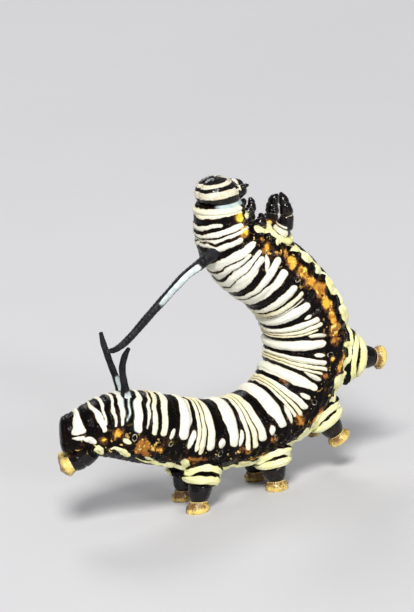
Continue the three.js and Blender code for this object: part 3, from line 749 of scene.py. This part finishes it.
def make_skin():
    places = skin_places()
    angle = np.linspace(-math.pi, math.pi, AROUND, endpoint=False)
    pp, aa = np.meshgrid(places, angle, indexing="ij")
    degrees = np.degrees(np.abs(aa))
    points, out = body_surface(pp, aa)
    stripes, spots, low, amber, warm, ridge_lift = skin_fields(pp, aa, points)
    pale = np.maximum(stripes, spots) - 0.055 * smooth(4.2, 3.4, pp)
    share = np.clip(pp, 0, COUNT - 1e-6) % 1.0
    cream = bell(share - 0.25, 0.16) * (pp > 3) * (pp < 10)
    inner = 1 - smooth(5, 40, degrees)
    tint = np.clip(0.8 * cream + 0.55 * inner * (0.35 + cream) + 0.5 * smooth(12.7, 12.9, pp), 0, 1)
    rise = PLEAT_LIFT * smooth(-0.09, 0.26, pale) + WHITE_LIFT * smooth(0.1, 0.6, pale)
    rise += 0.11 * smooth(-0.1, 0.3, low) + 0.03 * smooth(-0.1, 0.15, amber)
    band = bell(degrees - 112, 22)
    rise += band * 0.05 * Waves(0.9)(points) + 0.012 * fine_wobble(points)
    rise += ridge_lift - 0.045
    points = points + out * rise[..., None]
    mottle = np.clip(band * 1.1 + smooth(120, 165, degrees), 0, 1)
    blue = 0.5 * ((pp > 2.36) & (pp < 2.72)) * smooth(0.0, 0.05, stripes) * (stripes < 0.16)
    fields = dict(pale=pale, low=low, amber=amber, warm=warm, tint=tint, mottle=mottle, blue=blue)

    tail_centre, tail_forward, _, _ = station(0.0)
    t = np.arange(TAIL_ROWS, 0, -1)[:, None, None] / TAIL_ROWS * math.pi / 2
    shrink = np.maximum(np.cos(t), 0.0) ** TAIL_ROUNDING
    tail_rows = tail_centre + (points[0] - tail_centre) * shrink - tail_forward * TAIL_CAP * np.sin(t)
    neck_centre, neck_forward, _, _ = station(float(COUNT))
    neck_share = np.arange(1, NECK_ROWS + 1)[:, None] / NECK_ROWS
    t = neck_share[..., None]
    swell = 1 + 0.05 * np.sin(np.minimum(t / 0.55, 1) * math.pi) - 0.12 * np.maximum(t - 0.5, 0) / 0.5
    neck_rows = neck_centre + (points[-1] - neck_centre) * swell + neck_forward * NECK_LENGTH * t
    rows = np.concatenate([tail_rows, points, neck_rows])
    caps = np.array([tail_centre - tail_forward * TAIL_CAP, neck_centre + neck_forward * NECK_LENGTH])
    skin = tube_object("banded_skin", rows, caps, SKIN)
    for key, grid in fields.items():
        end = -0.5 if key in ("pale", "low", "amber") else 0.0
        neck = np.repeat(grid[-1:], NECK_ROWS, axis=0)
        if key == "pale":
            neck = neck + (0.5 - neck_share) * 0.75 * (neck_share > 0.3)
        if key == "blue":
            neck = smooth(0.56, 0.66, neck_share) * smooth(45, 62, degrees[:1]) * 0.85
        full = np.concatenate([np.full((TAIL_ROWS, AROUND), end), grid, neck])
        set_values(skin, **{key: np.append(full.ravel(), [end, grid[-1, 0]])})
    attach(skin, "root")
    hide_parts(*NAMES)


make_skin()


# Prolegs: a fleshy base with a pale collar and crescent, a glossy plate, a waist and a soft foot
def proleg_frame(place, feet, on_ground, hand):
    point, forward, back, side = station(place)
    root = point - back * PROLEG_ROOT_DEPTH + side * PROLEG_SPREAD * hand
    foot = np.array([feet[0], 0, feet[1]]) + side * PROLEG_FOOT_SPREAD * hand
    down = unit(foot - root)
    if on_ground:
        level, sole = np.array([1.0, 0, 0]), np.array([0, 0, -1.0])
    else:
        level, sole = unit(forward - down * (forward @ down)), down
    return root, foot, down, forward, level, sole


def proleg_rings(heights, parts, around, stretch, base):
    """Centres, half sizes and directions of rings at heights above the sole. base widens the root."""
    root, foot, down, forward, level, sole = parts
    heights = np.asarray(heights, float)
    reach = np.linalg.norm(foot - root)
    profile = np.array(PROLEG_PROFILE[::-1] + [(reach / stretch, *PROLEG_ROOT)])
    long_half = np.interp(heights / stretch, profile[:, 0], profile[:, 1])
    wide_half = np.interp(heights / stretch, profile[:, 0], profile[:, 2])
    long_half = long_half * (1 + base * smooth(2.2, 3.3, heights / stretch))
    share = 1 - heights / reach
    t = smooth(0.55, 0.95, share)[:, None]
    normal = unit(down * (1 - t) + sole * t)
    long = forward * (1 - t) + level * t
    long = unit(long - normal * np.sum(long * normal, -1, keepdims=True))
    wide = np.cross(normal, long)
    centre = root + (foot - root) * share[:, None]
    angle = turns(around)
    out = long[:, None] * np.cos(angle)[None, :, None], wide[:, None] * np.sin(angle)[None, :, None]
    return centre, long_half, wide_half, out, normal, angle


def share_out(leg, around, on_foot, on_plate):
    """Gives each ring of faces of a leg to the foot, the plate or the skin, and the sole to the foot."""
    leg.data.materials.append(FOOT)
    leg.data.materials.append(HORN)
    rings = np.repeat(np.where(on_foot, 1, np.where(on_plate, 2, 0)), around)
    owner = np.concatenate([rings, np.zeros(around), np.ones(around)])
    leg.data.polygons.foreach_set("material_index", owner.astype(np.int32))


def make_proleg(name, place, feet, on_ground, stretch, base, hand):
    parts = proleg_frame(place, feet, on_ground, hand)
    reach = np.linalg.norm(parts[1] - parts[0])
    rows, around = 170, 84
    heights = np.linspace(reach, 0, rows)
    centre, long_half, wide_half, (out_long, out_wide), _, angle = proleg_rings(
        heights, parts, around, stretch, base
    )
    hh, aa = np.meshgrid(heights, angle, indexing="ij")
    plain = out_long * long_half[:, None, None] + out_wide * wide_half[:, None, None]
    grid = centre[:, None] + plain
    waves = Waves(1.1)(grid)
    plate_top, foot_top = PLATE_TOP * stretch, FOOT_TOP * stretch
    soft = smooth(plate_top, plate_top + 0.2, hh)
    factor = 1 + (0.018 * waves + 0.012 * fine_wobble(grid)) * soft
    bow = 0.14 * np.cos(aa) ** 2
    groove = hh - 2.95 * stretch + 3 * bow
    factor -= 0.13 * bell(groove, 0.09) * soft
    foot = 1 - smooth(foot_top - 0.1, foot_top, hh)
    lobes = 0.035 * np.sin(aa * 7 + 1.5 * waves) * smooth(0.7, 0.4, hh)
    factor += foot * (lobes + 0.012 * fine_wobble(grid * 1.6))
    grid = centre[:, None] + plain * factor[..., None]
    if on_ground:
        grid[..., 2] = np.maximum(grid[..., 2], 0.0)
        grid[-1, :, 2] = 0.0
    leg = tube_object(name, grid, np.array([centre[0], centre[-1]]), SKIN)
    middle = (heights[:-1] + heights[1:]) / 2
    share_out(leg, around, middle < foot_top, middle < plate_top)
    outer = np.sin(aa) * hand
    width = 0.33 * np.sqrt(np.clip(outer + 0.45, 0, 1.2) / 1.2)
    crescent = np.where(width > 0.1, width - np.abs(hh - 2.48 * stretch + bow - 0.03 * waves), -1)
    collar = np.where(outer > 0, 0.24 - np.abs(hh - 3.4 * stretch + 4.5 * bow - 0.05 * waves), -1)
    rust = foot * (0.35 + 0.4 * smooth(0.2, 0.75, hh) + 0.3 * (outer < -0.2))
    low = np.append(np.maximum(crescent, collar).ravel(), [-1, -1])
    set_marks(leg, low=low, rust=np.append(rust.ravel(), [0, 0.4]))
    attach(leg, "root")
    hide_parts(name)
    make_hooks(name, parts, stretch)
    make_leg_hairs(name, grid, centre)


HAIR_SIDES = 4
HOOK_SIDES = 6
PROLEG_HAIRS = 40
TRUE_LEG_HAIRS = 34
HEAD_HAIRS = 90
SIDE_HAIRS = 240


def cones(name, roots, aim, lengths, radius, sides, material, bend=0.0):
    """Many thin cones as one object, each bent towards the ground by a share of its length."""
    aim = unit(aim)
    helper = np.where(np.abs(aim[:, 2:3]) < 0.9, np.array([[0, 0, 1.0]]), np.array([[1.0, 0, 0]]))
    right = unit(np.cross(aim, helper))
    up = np.cross(right, aim)
    angle = turns(sides)
    down = np.array([0, 0, -1])

    def along(share):
        return roots + blend(aim, lengths * share, down, bend * lengths * share**2)

    rings = []
    for share, size in ((0.0, 1.0), (0.55, 0.6)):
        reach = np.full((len(roots), 1), radius * size)
        ring = blend(right[:, None], reach * np.cos(angle), up[:, None], reach * np.sin(angle))
        rings.append(along(share)[:, None] + ring)
    per = sides * 2 + 1
    verts = np.concatenate([*rings, along(1.0)[:, None]], axis=1).reshape(-1, 3)
    i = np.arange(sides)
    j = (i + 1) % sides
    base = (np.arange(len(roots)) * per)[:, None, None]
    quads = (np.stack([i, j, sides + j, sides + i], -1)[None] + base).reshape(-1, 4)
    tris = (np.stack([sides + i, sides + j, np.full(sides, 2 * sides)], -1)[None] + base).reshape(-1, 3)
    obj = new_object(name, verts, [quads, tris], material)
    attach(obj, "root")
    return obj


def make_hairs(name, roots, aim, lengths, radius, bend=0.0):
    return cones(name, roots, aim, rng.uniform(*lengths, len(roots)), radius, HAIR_SIDES, HAIR, bend)


def make_hooks(name, parts, stretch):
    """Rows of small dark hooks round the waist and along the foot's rim, leaning out over the foot."""
    for label, height, count, length, lean, size in (
        ("upper", 0.8, 30, 0.2, 0.35, 0.04),
        ("rim", 0.42, 22, 0.16, 0.1, 0.045),
    ):
        centre, long_half, wide_half, (out_long, out_wide), normal, _ = proleg_rings(
            [height * stretch], parts, count, stretch, 0.0
        )
        out = out_long[0] * long_half[0] + out_wide[0] * wide_half[0]
        aim = unit(out) * (1 - lean) + normal[0] * lean * 2
        lengths = length * (1 + 0.25 * np.sin(np.arange(count) * 2.4))
        roots = centre[0] + out * 0.97
        hooks = cones(f"hooks_{label}_{name}", roots, aim, lengths, size, HOOK_SIDES, HOOK)


def make_leg_hairs(name, grid, centre):
    rows, around = grid.shape[:2]
    r = rng.integers(int(rows * 0.3), int(rows * 0.72), PROLEG_HAIRS)
    i = rng.integers(0, around, PROLEG_HAIRS)
    roots = grid[r, i]
    aim = roots - centre[r] + rng.normal(scale=0.25, size=roots.shape)
    hairs = make_hairs(f"hairs_{name}", roots, aim, (0.2, 0.45), 0.01, 0.1)


for segment_name, (place, right_foot, left_foot, *shape) in PROLEGS.items():
    for (hand, word), foot in zip(HANDS, (right_foot, left_foot)):
        make_proleg(f"proleg_{segment_name}_{word}", place, foot, *shape, hand)


# Anal prolegs: glossy claspers with an orange foot
def make_anal(hand, name):
    point, forward, back, side = station(0.2)
    path = [point + forward * a - back * b + side * ANAL_SPREAD * hand for a, b in ANAL_PATH]

    def shape(u, a):
        folds = 0.09 * bell(u - 0.46, 0.025) + 0.06 * bell(u - 0.7, 0.02)
        rounding = 0.16 * bell(u - 0.93, 0.05)
        return 1 - folds + rounding + 0.025 * np.sin(a * 7 + 1) * smooth(0.78, 0.9, u)

    rows, around = 110, 72
    leg, u, _ = rod(name, path, ANAL_PROFILE, rows, around, side, shape, SKIN)
    us = np.linspace(0, 1, rows)
    middle = (us[:-1] + us[1:]) / 2
    share_out(leg, around, middle > 0.72, middle > 0.2)
    set_marks(leg, rust=0.42 + 0.25 * smooth(0.9, 1.0, u))
    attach(leg, "root")
    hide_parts(name)


for hand, word in HANDS:
    make_anal(hand, f"anal_proleg_{word}")


# True legs: jointed, glossy, ending in a claw
def make_true_leg(name, segment, path, radii, reach, hand):
    point, forward, back, side = station(segment + 0.5)
    placed = []
    for i, (ahead, belly, out) in enumerate(path):
        t = 0 if hand > 0 else i / (len(path) - 1)
        outward = side * out * hand
        placed.append(point + forward * (ahead + reach[0] * t) - back * (belly + reach[1] * t) + outward)

    def shape(u, a):
        joints = 0.16 * bell(u - 0.36, 0.022) + 0.15 * bell(u - 0.6, 0.02) + 0.14 * bell(u - 0.8, 0.018)
        knees = 0.06 * bell(u - 0.42, 0.04) + 0.06 * bell(u - 0.66, 0.035)
        return 1 - joints + knees

    leg, u, a = rod(name, placed, radii, 90, 40, forward, shape, HORN)
    lateral = np.cos(a - math.pi * (1.5 if hand < 0 else 0.5))
    knuckle = 0.004 - np.abs(u - 0.6)
    base = np.minimum(0.05 - np.abs(u - 0.31), 0.3 * (lateral + 0.3))
    second = np.minimum(0.02 - np.abs(u - 0.405), 0.3 * (lateral - 0.1))
    set_values(leg, pale=np.maximum(np.maximum(base, second) * 4, knuckle * 5))
    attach(leg, "root")
    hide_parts(name)
    points, sizes, _ = resample(placed, radii, 60)
    pick = rng.integers(22, 56, TRUE_LEG_HAIRS)
    aim = unit(rng.normal(size=(TRUE_LEG_HAIRS, 3)))
    roots = points[pick] + aim * sizes[pick][:, None] * 0.9
    hairs = make_hairs(f"hairs_{name}", roots, aim, (0.15, 0.4), 0.011)


def make_leg_collar(name, segment, path, size, hand):
    """Swollen cream fold of skin round the foot of a true leg."""
    point, forward, back, side = station(segment + 0.5)
    a, b = np.array(path[0]), np.array(path[2])
    middle = a + (b - a) * 0.46
    centre = point + forward * (middle[0] - 0.1) - back * middle[1] + side * middle[2] * hand
    axis = unit(forward * (b - a)[0] - back * (b - a)[1] + side * (b - a)[2] * hand)
    long = unit(forward - axis * (forward @ axis))
    wide = np.cross(axis, long) * hand
    rows, around = 120, 32
    tt, aa = np.meshgrid(turns(rows), turns(around), indexing="ij")
    lateral = np.cos(tt)
    tube = size * (0.2 + 0.07 * (lateral + 1)) * (1 + 0.08 * np.sin(tt * 9 + 0.7))
    ring = blend(wide, lateral, long, 1.12 * np.sin(tt))
    lift = tube * np.sin(aa) - 0.3 * size * lateral
    grid = centre + blend(ring, size * 0.98 + tube * np.cos(aa), axis, lift)
    collar = new_object(f"collar_{name}", grid.reshape(-1, 3), [grid_faces(rows, around, True)], SKIN)
    low = (0.25 * (lateral + 0.25)).ravel()
    amber = (0.25 * np.sin(tt) - 0.12).ravel()
    set_marks(collar, low=low, amber=amber, warm=np.full(tt.size, 0.9), mottle=np.full(tt.size, 0.5))
    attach(collar, "root")


for segment_name, (segment, path, radii, reach) in TRUE_LEGS.items():
    for hand, word in HANDS:
        make_leg_collar(f"leg_{segment_name}_{word}", segment, path, radii[0] * 1.3, hand)
    for hand, word in HANDS:
        make_true_leg(f"leg_{segment_name}_{word}", segment, path, radii, reach, hand)


# Head
def head_frame():
    point, forward, back, side = station(float(COUNT))
    nod = math.radians(HEAD_NOD)
    face = forward * math.cos(nod) - back * math.sin(nod)
    crown = back * math.cos(nod) + forward * math.sin(nod)
    return point + forward * HEAD_CENTRE_AHEAD, face, crown, side, forward, back


HEAD_CENTRE, FACE, CROWN, SIDE, NECK_FORWARD, NECK_BACK = head_frame()


def on_head(face, crown, side):
    return HEAD_CENTRE + FACE * face + CROWN * crown + SIDE * side


def head_shape(face, crown, side):
    cleft = 1 - 0.07 * bell(side, 0.1) * smooth(0, 0.9, crown + 0.6 * face)
    chin = 1 - 0.2 * smooth(0.35, 1, -crown)
    triangle = smooth(0.0, 0.12, 0.3 - np.abs(side) - 0.3 * (crown + 0.5))
    frons = 1 - 0.05 * triangle * smooth(0.5, 0.9, face) * (crown < 0.4)
    ahead = HEAD_FORWARD * face * cleft * frons
    return np.stack([ahead, HEAD_HALF_HEIGHT * crown * cleft, HEAD_HALF_WIDTH * side * chin], -1)


def make_head():
    rows, around = 150, 200
    polar = np.linspace(0.004, math.pi * 0.86, rows)
    pp, tt = np.meshgrid(polar, turns(around), indexing="ij")
    face, crown, side = np.cos(pp), np.sin(pp) * np.cos(tt), np.sin(pp) * np.sin(tt)
    local = head_shape(face, crown, side)
    points = on_head(0, 0, 0) + local @ np.stack([FACE, CROWN, SIDE])
    offset = points - HEAD_CENTRE
    lean = math.radians(8)
    ring_axis = NECK_FORWARD * math.cos(lean) + NECK_BACK * math.sin(lean)
    q = offset @ ring_axis + 0.03 * wobble(points)
    low = offset @ (-CROWN)
    outer_band = np.minimum(0.3 - np.abs(q - 0.28 + 0.1 * low), 1.0 - low * 0.9)
    inner_band = np.minimum(0.13 - np.abs(q - 1.06 + 0.05 * low), 1.1 - low)
    x, y = np.abs(local[..., 2]), local[..., 1]
    adfrontal = np.minimum(0.1 - np.abs(x - 0.28 - 0.35 * (0.35 - y)), np.minimum(0.45 - y, y + 1.25))
    adfrontal = np.where(face > 0.35, adfrontal, -1)
    pale = np.maximum(np.maximum(outer_band, inner_band), adfrontal)
    relief = 0.012 * fine_wobble(points) + 0.02 * smooth(-0.03, 0.06, pale)
    points = points + unit(offset) * relief[..., None]
    caps = np.array([on_head(local[0, 0, 0], 0, 0), points[-1].mean(0)])
    head = tube_object("head_capsule", points, caps, HORN, inside_out=True)
    set_values(head, pale=np.append(pale.ravel(), [-1, -1]))
    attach(head, "root")
    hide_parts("head")
    r = rng.integers(20, rows - 30, HEAD_HAIRS)
    i = rng.integers(0, around, HEAD_HAIRS)
    aim = unit(offset[r, i]) + rng.normal(scale=0.2, size=(HEAD_HAIRS, 3))
    hairs = make_hairs("head_hairs", points[r, i], aim, (0.15, 0.35), 0.009)


EYE_SIZE = 0.13
EYE_HEIGHT = 0.8


def make_lens(name, centre, aim):
    rows, around = 14, 24
    right = unit(np.cross(aim, np.array([0.3, 0.7, 0.2])))
    up = np.cross(right, aim)
    t = np.linspace(0.02, math.pi * 0.62, rows)
    tt, aa = np.meshgrid(t, turns(around), indexing="ij")
    ring = blend(right, np.sin(tt) * np.cos(aa), up, np.sin(tt) * np.sin(aa))
    grid = centre + (ring + aim * (np.cos(tt) * EYE_HEIGHT)[..., None]) * EYE_SIZE
    caps = np.array([centre + aim * EYE_SIZE * EYE_HEIGHT, grid[-1].mean(0)])
    obj = tube_object(name, grid, caps, HORN)
    set_values(obj, pale=np.full(len(obj.data.vertices), -1.0))
    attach(obj, "root")
    return obj


def head_point(face, crown, side):
    v = unit(np.array([face, crown, side], float))
    local = head_shape(v[0], v[1], v[2])
    point = HEAD_CENTRE + local @ np.stack([FACE, CROWN, SIDE])
    return point, unit(point - HEAD_CENTRE)


def make_eyes():
    """Six small lenses each side, five in an arc and one set apart, low on the cheeks."""
    for hand, word in HANDS:
        for k in range(6):
            a = math.radians(200 - 42 * k) if k < 5 else math.radians(250)
            spread = 0.17 if k < 5 else 0.3
            centre, aim = head_point(0.42 + spread * math.sin(a), -0.52 + spread * math.cos(a), 0.78 * hand)
            lens = make_lens(f"eye_{word}_{k + 1}", centre, aim)


FEELER_JOINTS = (0.45, 0.72)
# Paths as forward, up and out from the middle of the head, radii, rows and points round
MOUTH_RODS = {
    "jaw": (
        [(0.1, -1.2, 0.75), (0.35, -1.75, 0.66), (0.38, -2.15, 0.4), (0.36, -2.38, 0.12)],
        [0.45, 0.5, 0.4, 0.16], 40, 32,
    ),
    "palp": (
        [(-0.15, -1.25, 0.42), (-0.12, -1.75, 0.46), (-0.02, -2.1, 0.42), (0.06, -2.32, 0.36)],
        [0.34, 0.28, 0.2, 0.1], 40, 24,
    ),
    "antenna": (
        [(0.5, -0.95, 1.0), (0.78, -1.5, 1.22), (0.95, -1.86, 1.3), (1.02, -2.08, 1.34)],
        [0.27, 0.25, 0.19, 0.09], 48, 24,
    ),
}


def make_mouth():
    lip_path = [on_head(*p, 0) for p in ((0.35, -1.1), (0.72, -1.55), (0.66, -1.95), (0.5, -2.2))]

    def lip_shape(u, a):
        notch = 0.25 * bell(u - 1, 0.12) * bell(np.abs(np.cos(a)), 0.3)
        return 1 - 0.1 * bell(u - 0.62, 0.03) - notch

    lip, u, _ = rod("mouthparts", lip_path, [0.5, 0.6, 0.56, 0.34], 50, 44, SIDE, lip_shape, HORN)
    set_values(lip, pale=np.where((u > 0.2) & (u < 0.5), 0.12 - np.abs(u - 0.36), -1.0))
    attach(lip, "root")
    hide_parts("mouthparts")
    first, second = FEELER_JOINTS
    marks = {
        "jaw": lambda u: np.full(u.size, -1.0),
        "palp": lambda u: np.maximum(0.02 - np.abs(u - first), 0.02 - np.abs(u - second)) * 4,
        "antenna": lambda u: (first - u) * 0.6,
    }
    for hand, word in HANDS:
        for kind, (path, radii, rows, around) in MOUTH_RODS.items():
            depth = 0.0 if kind == "jaw" else 0.2

            def joints(u, a):
                return 1 - depth * bell(u - first, 0.03) - depth * bell(u - second, 0.03)

            placed = [on_head(ahead, up, out * hand) for ahead, up, out in path]
            piece, u, _ = rod(f"{kind}_{word}", placed, radii, rows, around, FACE, joints, HORN)
            set_values(piece, pale=marks[kind](u))
            if kind == "antenna":
                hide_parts(f"antenna_{word}")
            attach(piece, "root")


make_head()
make_eyes()
make_mouth()


# Filaments: fleshy, tapering, with a painted highlight along one side
FILAMENT_ROWS = 260
FILAMENT_AROUND = 36


def make_filament(name, path, radii, streak_range, streak_side):
    def shape(u, a):
        wrinkles = 0.025 * np.sin(u * 210 + 2 * np.sin(a)) * smooth(0.02, 0.2, u)
        return 1 + wrinkles + 0.03 * np.sin(u * 37 + 1.0) + 0.02 * np.sin(a * 3 + u * 20)

    limb, u, a = rod(name, path, radii, FILAMENT_ROWS, FILAMENT_AROUND, (0, 1, 0), shape, FILAMENT)
    low, high = streak_range
    # Painted highlight: a pale line along one side of the filament, over part of its length, dimmer towards
    # its end.
    along = smooth(low - 0.05, low + 0.05, u) * (1 - smooth(high - 0.12, high + 0.14, u))
    streak = along * smooth(0.45, 0.85, np.cos(a - math.radians(streak_side)))
    set_values(limb, streak=streak, paleness=1 - 0.45 * smooth(high - 0.2, high + 0.1, u))
    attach(limb, "root")
    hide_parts(name)


front_left = [(x - FRONT_DROP[0] * y, -y, z + FRONT_DROP[1] * y) for x, y, z in FRONT_PATH]
make_filament("filament_front_right", FRONT_PATH, FRONT_RADII, (0.2, 0.56), 270)
make_filament("filament_front_left", front_left, FRONT_RADII, (0.2, 0.56), 90)
make_filament("filament_rear_right", REAR_RIGHT_PATH, REAR_RIGHT_RADII, (0.0, 0.34), 270)
make_filament("filament_rear_left", REAR_LEFT_PATH, REAR_LEFT_RADII, (0.05, 0.42), 270)


# Breathing pores: an oval rim round a sunk slit, both sides
def make_spiracles():
    rows, around = 40, 12
    tube = 0.045
    faces = [grid_faces(rows, around, True)]
    tt, aa = np.meshgrid(turns(rows), turns(around), indexing="ij")
    for name, share, degrees in SPIRACLES:
        for hand, word in HANDS:
            place = np.array(NAMES.index(name) + share)
            angle = np.array(math.radians(degrees) * hand)
            centre, out = body_surface(place, angle)
            forward = station(place)[1]
            high = np.cross(out, forward)
            thick = tube * np.cos(aa)
            ring = blend(forward, (0.2 + thick) * np.cos(tt), high, (0.29 + thick) * np.sin(tt))
            ring = centre + ring + out * (0.02 + tube * np.sin(aa))[..., None]
            rim = new_object(f"pore_rim_{name}_{word}", ring.reshape(-1, 3), faces, HORN)
            set_values(rim, pale=np.full(ring.size // 3, -0.008))
            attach(rim, "root")


make_spiracles()


# Sparse short hairs low on the sides
def make_body_hairs():
    place = rng.uniform(0.1, COUNT - 0.1, SIDE_HAIRS)
    angle = np.radians(rng.uniform(95, 150, SIDE_HAIRS)) * rng.choice([-1, 1], SIDE_HAIRS)
    roots, out = body_surface(place, angle)
    aim = out + rng.normal(scale=0.3, size=out.shape)
    hairs = make_hairs("side_hairs", roots, aim, (0.2, 0.55), 0.011, 0.15)


make_body_hairs()


# Floor, lights and camera
def make_stage():
    half = 3000.0
    verts = [(-half, -half, 0), (half, -half, 0), (half, half, 0), (-half, half, 0)]
    floor = new_object("studio_floor", verts, [np.array([[0, 1, 2, 3]])], floor_material())
    world = bpy.data.worlds.new("studio")
    bpy.context.scene.world = world
    world.use_nodes = True
    inputs = world.node_tree.nodes["Background"].inputs
    inputs["Color"].default_value = (0.92, 0.94, 1.0, 1)
    inputs["Strength"].default_value = 0.28


PHOTO_STEP = 0.085
PHOTO_MIDDLE = (207, 306)
PHOTO_HEIGHT = 612
TURN = math.radians(30)
LOOK_DOWN = math.radians(16)
ROLL = math.radians(5.6)
GROUND_IN_PHOTO = -48.12
LENS = 300.0
SENSOR = 36.0
LIT_POINT = np.array([0.0, 0.0, 0.014])


def pointed(right, up, back, place):
    """Matrix of a camera or lamp at the place."""
    return Matrix([*np.column_stack([right, up, back, place]).tolist(), [0, 0, 0, 1]])


def make_camera():
    """Looks from the body's right, a little from the tail and above, at PHOTO_STEP mm for a photo pixel."""
    right = np.array([math.cos(TURN), -math.sin(TURN), 0])
    level = np.array([math.sin(TURN), math.cos(TURN), 0])
    look = level * math.cos(LOOK_DOWN) - np.array([0, 0, 1]) * math.sin(LOOK_DOWN)
    up = np.cross(right, look)
    x_axis = right * math.cos(ROLL) - up * math.sin(ROLL)
    y_axis = right * math.sin(ROLL) + up * math.cos(ROLL)
    distance = PHOTO_HEIGHT * PHOTO_STEP / SENSOR * LENS
    body = np.array([20.0, 0, 13.0 + GROUND_IN_PHOTO])
    eye = (x_axis * PHOTO_MIDDLE[0] - y_axis * PHOTO_MIDDLE[1]) * PHOTO_STEP
    eye = (eye + look * (body @ look - distance) - np.array([ORIGIN_X, 0, GROUND_IN_PHOTO])) * MM
    data = bpy.data.cameras.new("photo_view")
    data.lens = LENS
    data.sensor_width = SENSOR
    data.clip_start = 0.01
    data.clip_end = 10.0
    camera = add_object("photo_view", data)
    camera.matrix_world = pointed(x_axis, y_axis, -look, eye)
    bpy.context.scene.camera = camera


def area_light(name, place, size, power, colour):
    """Round lamp at the place, turned to the middle of the body."""
    data = bpy.data.lights.new(name, "AREA")
    data.shape = "DISK"
    data.size = size
    data.energy = power
    data.color = colour
    back = unit(np.array(place) - LIT_POINT)
    right = unit(np.cross([0, 0, 1.0], back))
    add_object(name, data).matrix_world = pointed(right, np.cross(back, right), back, place)


make_stage()
make_camera()
area_light("key", (-0.45, -0.72, 0.95), 0.42, 16.0, (1.0, 0.985, 0.955))
area_light("fill", (0.12, -1.15, 0.3), 0.16, 3.8, (0.97, 0.98, 1.0))
area_light("rim", (0.3, 1.1, 0.9), 0.6, 5.0, (1.0, 1.0, 1.0))
bpy.context.scene.view_settings.view_transform = "Standard"
